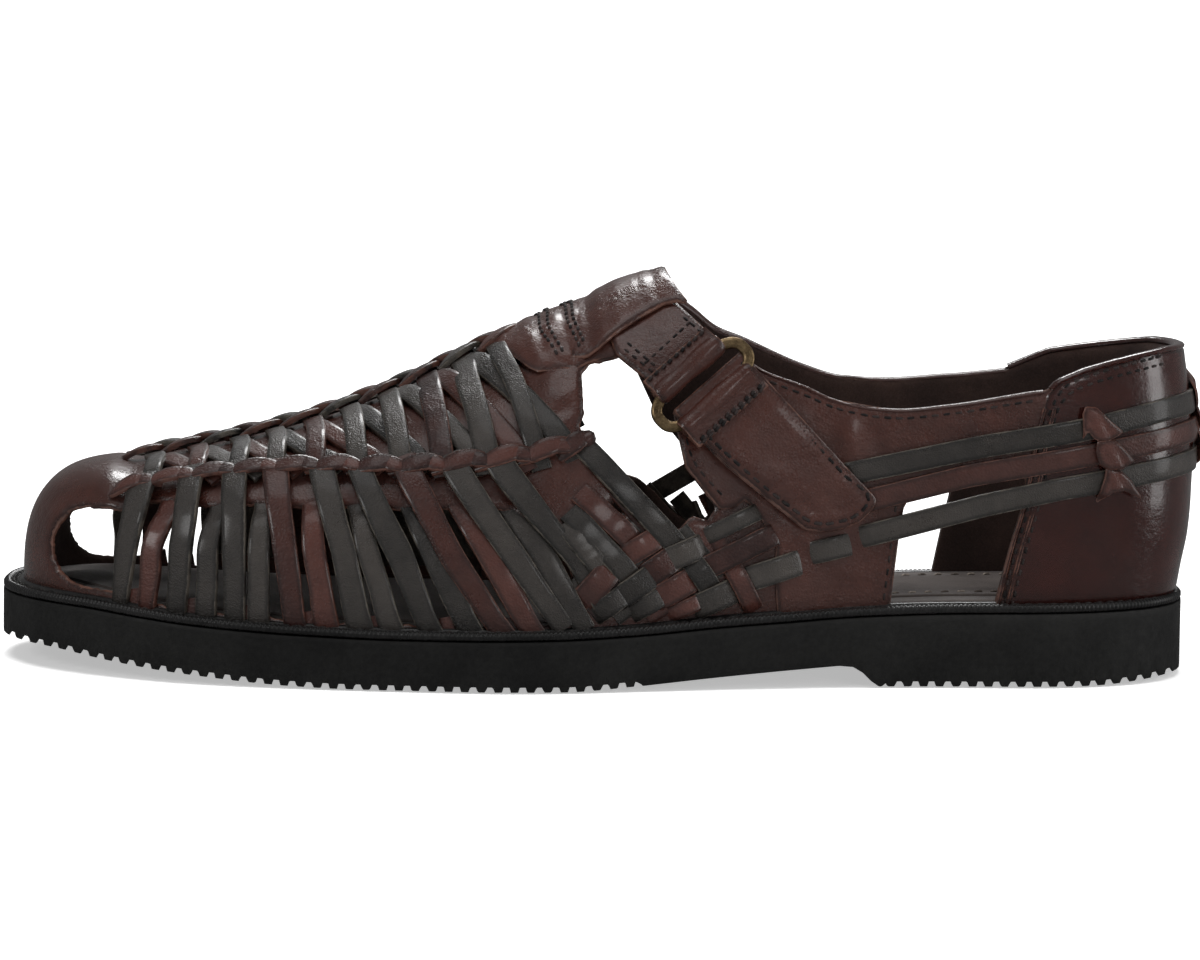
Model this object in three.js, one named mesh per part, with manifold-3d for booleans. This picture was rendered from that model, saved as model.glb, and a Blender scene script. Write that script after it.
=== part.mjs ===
// Men's left huarache sandal, fisherman type, about US size 9. Millimetres, +Z up.
// Toe toward -X, heel toward +X. The outer (lateral) side is -Y, the inner (medial) side is +Y.
// Z = 0 is the floor under the forefoot and the heel.
import * as THREE from 'three';
import { mergeVertices } from 'three/addons/utils/BufferGeometryUtils.js';
import Module from 'manifold-3d';

const wasm = await Module();
wasm.setup();

// ---------------------------------------------------------------- sizes
const GAP = 0.3;                // clearance between neighbouring pieces
const WALL = 2.0;               // leather wall of the upper
const COUNTER_THICK = 1.2;      // heel counter
const STRAP_THICK = 1.4;        // woven straps
const TOE_X = -147.0;           // front of the upper at the feather line
const HEEL_X = 144.6;           // back of the upper at the feather line
const SOLE_TOE_X = -152.0;
const SOLE_HEEL_X = 148.2;
const WELT_WIDTH = 5.0;         // welt shown outside the upper
const WELT_THICK = 2.1;
const INSOLE_THICK = 2.8;
const TREAD_PITCH = 8.1;
const TREAD_DEPTH = 1.3;
const SLOT_WIDTH = 2.3;         // open slot between two vamp straps
const BACK_STRAP_WIDTH = 5.6;
const FRAME_Y = 2.64;           // puts the origin under the middle of the whole shoe's box

// Last sections, one row for each station: centre line, half width at the feather line, height of the
// closed form, exponents of the section's height and width, and the place of its ridge.
const LAST = [
  { x: -148, centre: 8.0, half: 39.0, top: 49.6, heightExp: 3.3, widthExp: 3.0, ridge: 7.0 },
  { x: -125, centre: 5.0, half: 41.0, top: 50.6, heightExp: 3.3, widthExp: 3.0, ridge: 5.5 },
  { x: -100, centre: 1.5, half: 44.5, top: 55.2, heightExp: 3.0, widthExp: 2.8, ridge: 3.0 },
  { x: -75, centre: -0.5, half: 47.5, top: 61.6, heightExp: 2.6, widthExp: 2.5, ridge: 1.5 },
  { x: -50, centre: -2.0, half: 49.0, top: 71.2, heightExp: 2.2, widthExp: 2.2, ridge: 1.0 },
  { x: -30, centre: -4.0, half: 48.5, top: 81.0, heightExp: 2.0, widthExp: 2.0, ridge: 1.0 },
  { x: -10, centre: -5.5, half: 45.5, top: 89.8, heightExp: 1.9, widthExp: 2.0, ridge: 1.0 },
  { x: 12, centre: -6.0, half: 39.5, top: 96.4, heightExp: 1.9, widthExp: 2.1, ridge: 1.0 },
  { x: 40, centre: -5.0, half: 34.0, top: 108.0, heightExp: 2.0, widthExp: 2.2, ridge: 0.5 },
  { x: 65, centre: -3.0, half: 31.3, top: 122.0, heightExp: 2.2, widthExp: 2.3, ridge: 0.5 },
  { x: 90, centre: -1.0, half: 30.8, top: 133.0, heightExp: 2.3, widthExp: 2.4, ridge: 0.0 },
  { x: 115, centre: 0.5, half: 31.0, top: 140.0, heightExp: 2.3, widthExp: 2.4, ridge: 0.5 },
  { x: 148, centre: 1.5, half: 31.0, top: 140.0, heightExp: 2.3, widthExp: 2.4, ridge: 1.5 },
];
// Top face of the outsole along the length: toe spring, forefoot, arch and heel seat.
const SEAT = [
  { x: -152, z: 17.0 }, { x: -130, z: 16.6 }, { x: -115, z: 15.4 }, { x: -100, z: 14.2 }, { x: -86, z: 13.4 },
  { x: -73, z: 12.9 }, { x: -48, z: 12.4 }, { x: -11, z: 12.7 }, { x: 8, z: 13.4 }, { x: 31, z: 15.2 },
  { x: 50, z: 16.4 }, { x: 63, z: 17.3 }, { x: 90, z: 18.2 }, { x: 148, z: 18.6 },
];
// Bottom of the forefoot tread: toe spring running down to the floor.
const TREAD = [
  { x: -152, z: 5.9 }, { x: -138, z: 5.6 }, { x: -123, z: 4.0 }, { x: -110, z: 2.7 }, { x: -97, z: 1.7 },
  { x: -85, z: 0.8 }, { x: -75, z: 0.3 }, { x: -62, z: 0.0 }, { x: -8, z: 0.0 }, { x: 12, z: 1.2 },
];
// Backward bulge of the heel curve by height.
const BULGE = [
  { z: 18, d: 0.0 }, { z: 26, d: 1.7 }, { z: 36, d: 3.3 }, { z: 50, d: 4.2 }, { z: 60, d: 4.3 },
  { z: 70, d: 3.2 }, { z: 77, d: 2.2 }, { z: 88, d: 1.2 }, { z: 120, d: 0.8 },
];

// ---------------------------------------------------------------- smooth tables
function smoothTable(rows, key, value) {
  const xs = rows.map((r) => r[key]);
  const ys = rows.map((r) => r[value]);
  const h = xs.slice(1).map((x, i) => x - xs[i]);
  const d = h.map((w, i) => (ys[i + 1] - ys[i]) / w);
  const m = ys.map((_, i) => {
    if (i === 0) return d[0];
    if (i === ys.length - 1) return d[d.length - 1];
    if (d[i - 1] * d[i] <= 0) return 0;
    const a = 2 * h[i] + h[i - 1], b = h[i] + 2 * h[i - 1];
    return (a + b) / (a / d[i - 1] + b / d[i]);
  });
  return (x) => {
    const c = Math.min(Math.max(x, xs[0]), xs[xs.length - 1]);
    let i = 0;
    while (i < xs.length - 2 && c > xs[i + 1]) i++;
    const t = (c - xs[i]) / h[i], t2 = t * t, t3 = t2 * t;
    return (2 * t3 - 3 * t2 + 1) * ys[i] + (t3 - 2 * t2 + t) * h[i] * m[i]
      + (-2 * t3 + 3 * t2) * ys[i + 1] + (t3 - t2) * h[i] * m[i + 1];
  };
}
const last = Object.fromEntries(['centre', 'half', 'top', 'heightExp', 'widthExp', 'ridge']
  .map((k) => [k, smoothTable(LAST, 'x', k)]));
const seat = smoothTable(SEAT, 'x', 'z');
const treadLine = smoothTable(TREAD, 'x', 'z');
const bulgeByHeight = smoothTable(BULGE, 'z', 'd');
const clamp01 = (t) => Math.min(Math.max(t, 0), 1);
const closure = (u, p) => Math.max(1 - clamp01(u) ** p, 0) ** (1 / p);
const easeIn = (a, b, x) => { const t = clamp01((x - a) / (b - a)); return t * t * (3 - 2 * t); };
const heelShift = (x, z) => bulgeByHeight(z) * easeIn(70, 146, x);

// ---------------------------------------------------------------- the last
// One section of the last's form, grown outward by off: its half width and its top.
function section(x, off) {
  const toe = TOE_X - off, heel = HEEL_X + off;
  const half = (last.half(x) + off) * closure((toe + 62 - x) / 62, 2.4) * closure((x - heel + 44) / 44, 2.3);
  const top = seat(x) + (last.top(x) + off - seat(x)) * closure((toe + 27 - x) / 27, 3.0);
  return { half, top };
}
function sideY(x, z, side, off) {
  const { half, top } = section(x, off);
  const t = clamp01((z - seat(x)) / Math.max(top - seat(x), 1e-6));
  const a = Math.max(1 - t ** last.heightExp(x), 0) ** (1 / last.widthExp(x));
  return last.centre(x) + (last.ridge(x) - last.centre(x)) * t + side * half * a;
}
function stations(from, to, step) {
  const ends = [0.15, 1.6, 5.2, 11, 18.5];
  const n = Math.round((to - from - 2 * 27) / step);
  const mid = Array.from({ length: n + 1 }, (_, i) => from + 27 + (to - from - 54) * i / n);
  return [...ends.map((e) => from + e), ...mid, ...ends.slice().reverse().map((e) => to - e)];
}

// ---------------------------------------------------------------- solids
function solidFrom(positions, indices) {
  const solid = new wasm.Manifold(new wasm.Mesh({
    numProp: 3, vertProperties: Float32Array.from(positions), triVerts: Uint32Array.from(indices),
  }));
  return solid;
}
// Rings of equal length, closed across their ends.
function loft(rings) {
  const n = rings[0].length, positions = rings.flat(2), indices = [];
  for (let i = 0; i + 1 < rings.length; i++) {
    for (let j = 0; j < n; j++) {
      const a = i * n + j, b = i * n + (j + 1) % n, c = a + n, d = b + n;
      indices.push(a, c, b, b, c, d);
    }
  }
  for (const [base, flip] of [[0, false], [(rings.length - 1) * n, true]]) {
    for (let lo = 0, hi = n - 1; hi - lo > 1; lo++, hi--) {
      const quads = hi - lo > 2 ? [[lo, lo + 1, hi], [lo + 1, hi - 1, hi]] : [[lo, lo + 1, hi]];
      for (const [p, q, r] of quads) indices.push(...(flip ? [base + p, base + r, base + q] : [base + p, base + q, base + r]));
    }
  }
  return solidFrom(positions, indices);
}
// The last's closed form grown by off, with its base raised above the seat by lift.
const STEP = 11.5, ARC = 8;     // every grown form shares its stations, so the gaps between pieces stay even
function lastForm(off, lift, step = STEP, arc = ARC) {
  const rings = stations(TOE_X - off, HEEL_X + off, step).map((x) => {
    const { top } = section(x, off);
    const crown = Math.max(top, seat(x) + 0.35), even = easeIn(5, 55, x), n = last.heightExp(x);
    const rise = (k) => (1 - even) * Math.sin((Math.PI / 2) * k / arc) ** (2 / n) + even * k / arc;
    const heights = Array.from({ length: arc }, (_, k) => seat(x) + (crown - seat(x)) * rise(k));
    heights[0] = seat(x) + Math.max(lift, 0);
    if (lift > 0) for (let k = 1; k < arc; k++) heights[k] = Math.max(heights[k], heights[0] + 0.02 * k);
    const foot = lift < 0 ? seat(x) + lift : null;
    const wall = (side) => {
      const rows = heights.map((z) => [x + heelShift(x, z), sideY(x, z, side, off), z]);
      return foot === null ? rows : [[rows[0][0], rows[0][1], foot], ...rows];
    };
    const peak = Math.max(crown, heights[arc - 1] + 0.02);
    const ring = [...wall(-1), [x + heelShift(x, peak), last.ridge(x), peak], ...wall(1).reverse()];
    return ring;
  });
  return loft(rings);
}
function fromGeometry(geometry) {
  geometry.deleteAttribute('normal');
  geometry.deleteAttribute('uv');
  const merged = mergeVertices(geometry, 1e-4);
  return solidFrom(merged.attributes.position.array, merged.index.array);
}
// A prism along Y over an outline drawn in X and Z.
function prismY(outline, y0, y1) {
  const shape = new THREE.Shape(outline.map(([x, z]) => new THREE.Vector2(x, z)));
  const geometry = new THREE.ExtrudeGeometry(shape, { depth: y1 - y0, bevelEnabled: false });
  geometry.rotateX(Math.PI / 2);
  geometry.translate(0, y1, 0);
  return fromGeometry(geometry);
}
const points = (rows) => rows.map((r) => [r.x, r.z]);
const LATERAL = [-90, 1.0], MEDIAL = [1.0, 90];
const union = (list) => list.reduce((a, b) => a.add(b));

// A level plate that follows the seat line between two plan outlines.
function plate(halfOf, from, to, below, above, step = 10) {
  const rings = stations(from, to, step).map((x) => {
    const half = halfOf(x), c = last.centre(x), lo = seat(x) + below, hi = seat(x) + above;
    return [[x, c - half, lo], [x, c - half, hi], [x, c + half, hi], [x, c + half, lo]];
  });
  return loft(rings);
}
const soleHalf = (x) => (last.half(x) + WELT_WIDTH + 0.6 * easeIn(60, 120, x))
  * closure((SOLE_TOE_X + 64 - x) / 64, 2.4) * closure((x - SOLE_HEEL_X + 46) / 46, 2.3);

// ---------------------------------------------------------------- outsole
const SHANK = [{ x: 12, z: 1.9 }, { x: 25, z: 3.2 }, { x: 44, z: 4.4 }, { x: 62, z: 5.3 }, { x: 64.5, z: 3.4 }, { x: 68.5, z: 0.4 }, { x: 70, z: 0.0 }];
const HEEL_TREAD = { from: 70, to: 145.5, rise: 1.2 };
function treadTeeth(from, to, lineAt) {
  const count = Math.round((to - from) / TREAD_PITCH), pitch = (to - from) / count, out = [];
  for (let i = 0; i < count; i++) {
    const a = from + i * pitch, z = lineAt(a + pitch / 2);
    out.push([a + pitch * 0.12, z + TREAD_DEPTH], [a + pitch * 0.38, z], [a + pitch * 0.62, z], [a + pitch * 0.88, z + TREAD_DEPTH]);
  }
  return out;
}
function makeOutsole() {
  const profile = [[-152.6, 8.0], ...treadTeeth(-150.5, 11.5, treadLine), ...points(SHANK),
    ...treadTeeth(HEEL_TREAD.from, HEEL_TREAD.to, (x) => HEEL_TREAD.rise * easeIn(128, 150, x)), [149, 2.4], [149, 40], [-152.6, 40]];
  const wide = prismY(profile, -90, 90);
  const body = plate(soleHalf, SOLE_TOE_X, SOLE_HEEL_X, -22, 0);
  const pad = (x, y, r) => { // smooth round pad in the middle of the tread
    const disc = new THREE.CylinderGeometry(r, r, 4, 24);
    disc.rotateX(Math.PI / 2);
    disc.translate(x, y, 2);
    return fromGeometry(disc);
  };
  return body.intersect(wide).add(pad(-36, -4, 22)).add(pad(106, 0, 17));
}

// ---------------------------------------------------------------- welt and insole
function makeWelt() {
  return plate(soleHalf, SOLE_TOE_X, SOLE_HEEL_X, GAP, GAP + WELT_THICK, 9)
    .subtract(lastForm(GAP, -6));
}
function makeInsole() {
  return plate(soleHalf, SOLE_TOE_X, SOLE_HEEL_X, GAP, GAP + INSOLE_THICK, STEP).intersect(lastForm(-(WALL + GAP), -8));
}

// ---------------------------------------------------------------- upper
// Topline and throat on the outer side: the T-shaped tab's edge, the collar, and the throat opening.
const OUTER_OPENING = [
  { x: -5.0, z: 77.0 }, { x: -3.0, z: 79.0 }, { x: 4.0, z: 80.5 }, { x: 8.5, z: 88.0 }, { x: 12.0, z: 94.0 }, { x: 12.0, z: 170 },
  { x: 170, z: 170 }, { x: 170, z: 82.6 }, { x: 141.4, z: 82.2 }, { x: 133.9, z: 80.9 }, { x: 126.6, z: 79.4 }, { x: 119.5, z: 77.5 },
  { x: 110.0, z: 73.4 }, { x: 97.9, z: 71.4 }, { x: 86.7, z: 69.6 }, { x: 72.8, z: 68.4 }, { x: 57.1, z: 70.9 }, { x: 50.6, z: 73.8 },
  { x: 39.1, z: 78.0 }, { x: 34.8, z: 80.8 }, { x: 18.0, z: 67.5 }, { x: 21.2, z: 54.2 }, { x: 14.7, z: 50.5 }, { x: 6.3, z: 52.0 },
  { x: 2.1, z: 54.9 }, { x: -3.5, z: 63.0 }, { x: -4.9, z: 71.7 },
];
const INNER_COLLAR = [
  { x: 12.0, z: 170 }, { x: 12.0, z: 96.0 }, { x: 15.0, z: 94.5 }, { x: 23.2, z: 88.9 }, { x: 28.5, z: 84.4 }, { x: 36.5, z: 81.0 }, { x: 52.4, z: 74.0 },
  { x: 59.2, z: 71.8 }, { x: 72.4, z: 70.8 }, { x: 90.0, z: 72.0 }, { x: 104.3, z: 73.4 }, { x: 115.5, z: 78.0 }, { x: 126.4, z: 79.9 },
  { x: 141.1, z: 82.2 }, { x: 170, z: 82.6 }, { x: 170, z: 170 },
];
const INNER_THROAT = [
  { x: -6.0, z: 77.0 }, { x: -3.0, z: 79.0 }, { x: 4.5, z: 81.0 }, { x: 8.0, z: 75.0 }, { x: 14.0, z: 62.0 }, { x: 22.0, z: 49.5 },
  { x: 14.7, z: 45.0 }, { x: 6.3, z: 46.0 }, { x: 0.5, z: 50.0 }, { x: -5.0, z: 58.0 }, { x: -6.5, z: 68.0 },
];
// Waist windows between the quarter and the counter.
const OUTER_WINDOW = [
  { x: 72.5, z: 22.3 }, { x: 74.5, z: 36.5 }, { x: 77.5, z: 44.0 }, { x: 84.0, z: 49.0 }, { x: 95.0, z: 52.0 }, { x: 106.0, z: 53.0 },
  { x: 105.2, z: 44.5 }, { x: 102.2, z: 33.9 }, { x: 98.5, z: 22.3 },
];
const INNER_WINDOW = [
  { x: 60.5, z: 22.3 }, { x: 62.5, z: 36.5 }, { x: 65.5, z: 44.0 }, { x: 72.0, z: 49.0 }, { x: 82.0, z: 51.5 }, { x: 92.5, z: 52.0 },
  { x: 91.5, z: 44.5 }, { x: 88.5, z: 31.0 }, { x: 86.0, z: 22.3 },
];
const TOE_WINDOW = [
  { x: -135.6, z: 21.4 }, { x: -136.2, z: 29.0 }, { x: -134.2, z: 37.2 }, { x: -130.5, z: 39.6 }, { x: -120.6, z: 40.4 }, { x: -119.6, z: 20.6 },
];
// Open slots between the upright straps: where each gap's middle is at its top and at its foot.
const SLOTS = [
  { topX: -110.6, footX: -113.8 }, { topX: -104.6, footX: -108.0 }, { topX: -98.3, footX: -100.9 }, { topX: -93.6, footX: -93.8 },
  { topX: -87.7, footX: -87.0 }, { topX: -82.2, footX: -79.9 }, { topX: -76.3, footX: -71.8 }, { topX: -69.8, footX: -63.8 },
  { topX: -63.8, footX: -55.6 }, { topX: -58.2, footX: -47.2 }, { topX: -52.2, footX: -38.0 }, { topX: -45.2, footX: -29.4 },
  { topX: -38.6, footX: -22.2 }, { topX: -32.6, footX: -15.4 }, { topX: -25.8, footX: -9.8 }, { topX: -18.2, footX: -4.6 },
];
const SLOT_TOP_Z = 44.4, SLOT_FOOT_RISE = 4.2;
// See-through spots left by the waist weave.
const WEAVE_HOLES = [{ x: 4.7, z: 44.6 }, { x: 9.6, z: 39.6 }, { x: 15.8, z: 43.3 }, { x: 22.2, z: 47.8 }, { x: 26.3, z: 41.3 }];
const WEAVE_HOLE = 2.3;

function makeUpper() {
  let upper = lastForm(0, GAP).subtract(lastForm(-WALL, -8));
  const cuts = [prismY(points(OUTER_OPENING), ...LATERAL), prismY(points(INNER_COLLAR), ...MEDIAL), prismY(points(INNER_THROAT), ...MEDIAL),
    prismY(points(OUTER_WINDOW), ...LATERAL), prismY(points(INNER_WINDOW), ...MEDIAL),
    prismY(points(TOE_WINDOW), ...LATERAL), prismY(points(TOE_WINDOW).map(([x, z]) => [x + 1, z]), 14, 90)];
  for (const [y0, y1] of [LATERAL, MEDIAL]) {
    for (const { topX, footX } of SLOTS) {
      const foot = seat(footX) + SLOT_FOOT_RISE, w = SLOT_WIDTH / 2;
      cuts.push(prismY([[topX - w * 0.8, SLOT_TOP_Z], [footX - w, foot], [footX + w, foot], [topX + w * 0.8, SLOT_TOP_Z]], y0, y1));
    }
    for (const { x, z } of WEAVE_HOLES) {
      cuts.push(prismY([[x - WEAVE_HOLE, z], [x, z - WEAVE_HOLE], [x + WEAVE_HOLE, z], [x, z + WEAVE_HOLE]], y0, y1));
    }
  }
  upper = upper.subtract(union(cuts));
  return upper;
}

// ---------------------------------------------------------------- overlays on the upper
const skin = (from, to, lift = 2.7) => lastForm(to, lift).subtract(lastForm(from, -9));

const COUNTER_FRONT_OUTER = [
  { x: 98.9, z: 10 }, { x: 102.6, z: 33.9 }, { x: 105.6, z: 44.5 }, { x: 107.5, z: 55.0 }, { x: 109.5, z: 66.0 }, { x: 111.5, z: 73.2 },
  { x: 120.2, z: 77.2 }, { x: 127.0, z: 79.2 }, { x: 134.1, z: 80.6 }, { x: 141.4, z: 81.8 }, { x: 170, z: 82.2 }, { x: 170, z: 10 },
];
const COUNTER_FRONT_INNER = [
  { x: 86.4, z: 10 }, { x: 88.9, z: 31.0 }, { x: 91.9, z: 44.5 }, { x: 94.0, z: 55.0 }, { x: 98.0, z: 66.0 }, { x: 103.0, z: 72.6 },
  { x: 115.7, z: 77.6 }, { x: 126.4, z: 79.5 }, { x: 141.1, z: 81.8 }, { x: 170, z: 82.2 }, { x: 170, z: 10 },
];
function makeCounter() {
  const shell = skin(GAP, GAP + COUNTER_THICK);
  return shell.intersect(prismY(points(COUNTER_FRONT_OUTER), ...LATERAL).add(prismY(points(COUNTER_FRONT_INNER), ...MEDIAL)));
}

// Middle lines of the three straps that bridge the waist windows and run round the heel.
const BACK_STRAPS = [
  [{ x: 66.0, z: 53.4 }, { x: 95.0, z: 59.6 }, { x: 119.0, z: 63.6 }, { x: 141.0, z: 68.2 }, { x: 160.0, z: 70.5 }],
  [{ x: 70.4, z: 46.9 }, { x: 92.0, z: 52.4 }, { x: 114.0, z: 56.2 }, { x: 144.6, z: 61.6 }, { x: 160.0, z: 63.6 }],
  [{ x: 66.8, z: 37.4 }, { x: 95.5, z: 45.0 }, { x: 114.4, z: 49.2 }, { x: 146.0, z: 54.4 }, { x: 160.0, z: 56.4 }],
];
const LACE_WRAPS = [{ x0: 119.5, x1: 124.0, z0: 50.0, z1: 66.0 }, { x0: 141.5, x1: 146.5, z0: 53.5, z1: 71.5 }];
function makeBackStraps() {
  const off = GAP + COUNTER_THICK + GAP, shell = skin(off, off + STRAP_THICK);
  const w = BACK_STRAP_WIDTH / 2;
  const bands = BACK_STRAPS.map((rows) => {
    const low = rows.map(({ x, z }) => [x, z - w]), high = rows.map(({ x, z }) => [x, z + w]).reverse();
    return prismY([...low, ...high], -90, 90);
  });
  const wraps = LACE_WRAPS.map((r) => prismY([[r.x0, r.z0], [r.x1, r.z0], [r.x1, r.z1], [r.x0, r.z1]], -90, 90));
  const body = shell.intersect(union([...bands, ...wraps]));
  // Each end turns in to its slot in the quarter.
  const feet = skin(GAP, off + 0.4).intersect(union(BACK_STRAPS.map((rows) => {
    const { x, z } = rows[0];
    return prismY([[x, z - w], [x + 3, z - w + 0.6], [x + 3, z + w + 0.6], [x, z + w]], -90, 90);
  })));
  return body.add(feet);
}

// ---------------------------------------------------------------- instep: loop, strap, ring and fastening strap
const RING = { centre: [25.2, -33.2, 74.4], along: [20, 7.2, 17.5], across: [6.8, -2.7, -7.3], long: 29.8, short: 12.8, band: 2.2, thick: 1.5 };
const ringAxes = (() => {
  const u = new THREE.Vector3(...RING.along).normalize();
  const n = u.clone().cross(new THREE.Vector3(...RING.across)).normalize();
  return { u, v: n.clone().cross(u).normalize(), n };
})();
const ringCentre = new THREE.Vector3(...RING.centre);
function makeRing() {
  const oval = (path, l, s) => {
    const r = s / 2, a = l / 2 - r;
    path.absarc(a, 0, r, -Math.PI / 2, Math.PI / 2, false);
    path.absarc(-a, 0, r, Math.PI / 2, Math.PI * 1.5, false);
    path.closePath();
    return path;
  };
  const shape = oval(new THREE.Shape(), RING.long, RING.short);
  shape.holes.push(oval(new THREE.Path(), RING.long - 2 * RING.band, RING.short - 2 * RING.band));
  const geometry = new THREE.ExtrudeGeometry(shape, { depth: RING.thick, bevelEnabled: false, curveSegments: 10 });
  geometry.translate(0, 0, -RING.thick / 2);
  geometry.applyMatrix4(new THREE.Matrix4().makeBasis(ringAxes.u, ringAxes.v, ringAxes.n).setPosition(ringCentre));
  return fromGeometry(geometry);
}
// A round bar of the ring's direction, at side * half its short way, for the straps' folds.
function barCylinder(side, radius, length) {
  const c = ringCentre.clone().addScaledVector(ringAxes.v, side * (RING.short - RING.band) / 2);
  const geometry = new THREE.CylinderGeometry(radius, radius, length, 14);
  geometry.applyMatrix4(new THREE.Matrix4().makeBasis(ringAxes.v, ringAxes.u, ringAxes.n.clone().negate()).setPosition(c));
  return fromGeometry(geometry);
}
const FOLD_RADIUS = 2.9, FOLD_BORE = 1.7;

const ANKLE_OUTER = [
  { x: -1.5, z: 170 }, { x: -1.5, z: 92.0 }, { x: 3.7, z: 80.0 }, { x: 14.9, z: 71.8 }, { x: 28.9, z: 84.2 }, { x: 20.0, z: 91.5 }, { x: 15.0, z: 95.5 }, { x: 15.0, z: 170 },
];
const ANKLE_INNER = [
  { x: -1.5, z: 170 }, { x: -1.5, z: 92.0 }, { x: 5.0, z: 84.0 }, { x: 12.5, z: 69.0 }, { x: 18.5, z: 58.5 }, { x: 38.0, z: 64.0 }, { x: 46.0, z: 74.5 },
  { x: 36.5, z: 80.4 }, { x: 28.5, z: 83.6 }, { x: 22.0, z: 89.4 }, { x: 15.0, z: 94.5 }, { x: 15.0, z: 170 },
];
const LOOP = [
  { x: -4.0, z: 170 }, { x: -4.0, z: 82.5 }, { x: 0.0, z: 81.5 }, { x: 9.5, z: 87.5 }, { x: 16.0, z: 91.5 }, { x: 16.0, z: 97.0 }, { x: 15.5, z: 170 },
];
const LOOP_FOOT = [{ x: -6.5, z: 170 }, { x: -6.5, z: 83.5 }, { x: -3.0, z: 82.5 }, { x: -3.0, z: 170 }];
const TAB = [
  { x: 17.5, z: 66.5 }, { x: 34.8, z: 81.1 }, { x: 61.4, z: 53.8 }, { x: 68.9, z: 46.5 }, { x: 67.5, z: 43.5 }, { x: 59.8, z: 38.7 }, { x: 50.4, z: 38.8 }, { x: 31.0, z: 53.8 },
];
const STRAP_LAYER = { ankle: [GAP, 2.1], loop: [2.4, 3.9], tab: [GAP, 3.0] };

function makeAnkleStrap() {
  const shell = skin(...STRAP_LAYER.ankle);
  const band = shell.intersect(prismY(points(ANKLE_OUTER), ...LATERAL).add(prismY(points(ANKLE_INNER), ...MEDIAL)));
  return band.add(barCylinder(-1, FOLD_RADIUS, 18)).subtract(barCylinder(-1, FOLD_BORE, 30)).subtract(lastForm(GAP, -6));
}
function makeLoop() {
  const over = prismY(points(LOOP), -90, 90).intersect(skin(...STRAP_LAYER.loop));
  const foot = prismY(points(LOOP_FOOT), -90, 90).intersect(skin(GAP, STRAP_LAYER.loop[1]));
  return over.add(foot);
}
function makeTab() {
  const band = skin(...STRAP_LAYER.tab).intersect(prismY(points(TAB), ...LATERAL));
  return band.add(barCylinder(1, FOLD_RADIUS, 21)).subtract(barCylinder(1, FOLD_BORE, 30)).subtract(lastForm(GAP, -6));
}

// ---------------------------------------------------------------- the assembly
const part = new THREE.Group();
part.position.y = FRAME_Y;
function place(name, solid, color, roughness, metalness = 0) {
  const bodies = solid.decompose().sort((a, b) => b.volume() - a.volume());
  const mesh = bodies[0].getMesh();
  const geometry = new THREE.BufferGeometry();
  geometry.setAttribute('position', new THREE.BufferAttribute(new Float32Array(mesh.vertProperties), 3));
  geometry.setIndex(new THREE.BufferAttribute(new Uint32Array(mesh.triVerts), 1));
  const node = new THREE.Mesh(geometry, new THREE.MeshStandardMaterial({ color, roughness, metalness }));
  node.name = name;
  part.add(node);
}

place('outsole', makeOutsole(), 0x232324, 0.75);
place('welt', makeWelt(), 0x1c1d1d, 0.45);
place('insole', makeInsole(), 0x2b2322, 0.6);
place('upper', makeUpper(), 0x46302c, 0.4);
place('heel_counter', makeCounter(), 0x4a2f2a, 0.35);
place('back_straps', makeBackStraps(), 0x32342f, 0.5);
place('instep_loop', makeLoop(), 0x4a332f, 0.35);
place('ankle_strap', makeAnkleStrap(), 0x46302c, 0.4);
place('ring', makeRing(), 0x8c6e46, 0.35, 0.9);
place('fastening_strap', makeTab(), 0x4b3430, 0.38);

export default part;
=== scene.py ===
# Huarache sandal, men's left shoe. Every length below is in millimetres in the shoe's own frame:
# toe toward -X, heel +X, outer side -Y, inner side +Y, floor at Z = 0. Meshes are written in metres.
import bpy, math
import numpy as np
from mathutils import Matrix, Vector


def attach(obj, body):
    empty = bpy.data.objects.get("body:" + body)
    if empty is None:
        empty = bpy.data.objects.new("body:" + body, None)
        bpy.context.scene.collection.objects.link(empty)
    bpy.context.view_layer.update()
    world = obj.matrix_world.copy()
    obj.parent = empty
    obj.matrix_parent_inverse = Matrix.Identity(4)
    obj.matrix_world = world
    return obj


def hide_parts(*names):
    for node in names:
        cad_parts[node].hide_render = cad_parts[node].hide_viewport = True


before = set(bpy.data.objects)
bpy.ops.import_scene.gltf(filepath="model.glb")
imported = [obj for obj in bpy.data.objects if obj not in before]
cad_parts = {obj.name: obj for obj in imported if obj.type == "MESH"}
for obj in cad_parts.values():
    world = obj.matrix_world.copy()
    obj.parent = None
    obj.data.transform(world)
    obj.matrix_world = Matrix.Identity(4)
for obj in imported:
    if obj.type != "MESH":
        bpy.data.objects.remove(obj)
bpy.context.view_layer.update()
FRAME_Y = 2.64
rng = np.random.RandomState(7)

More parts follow.
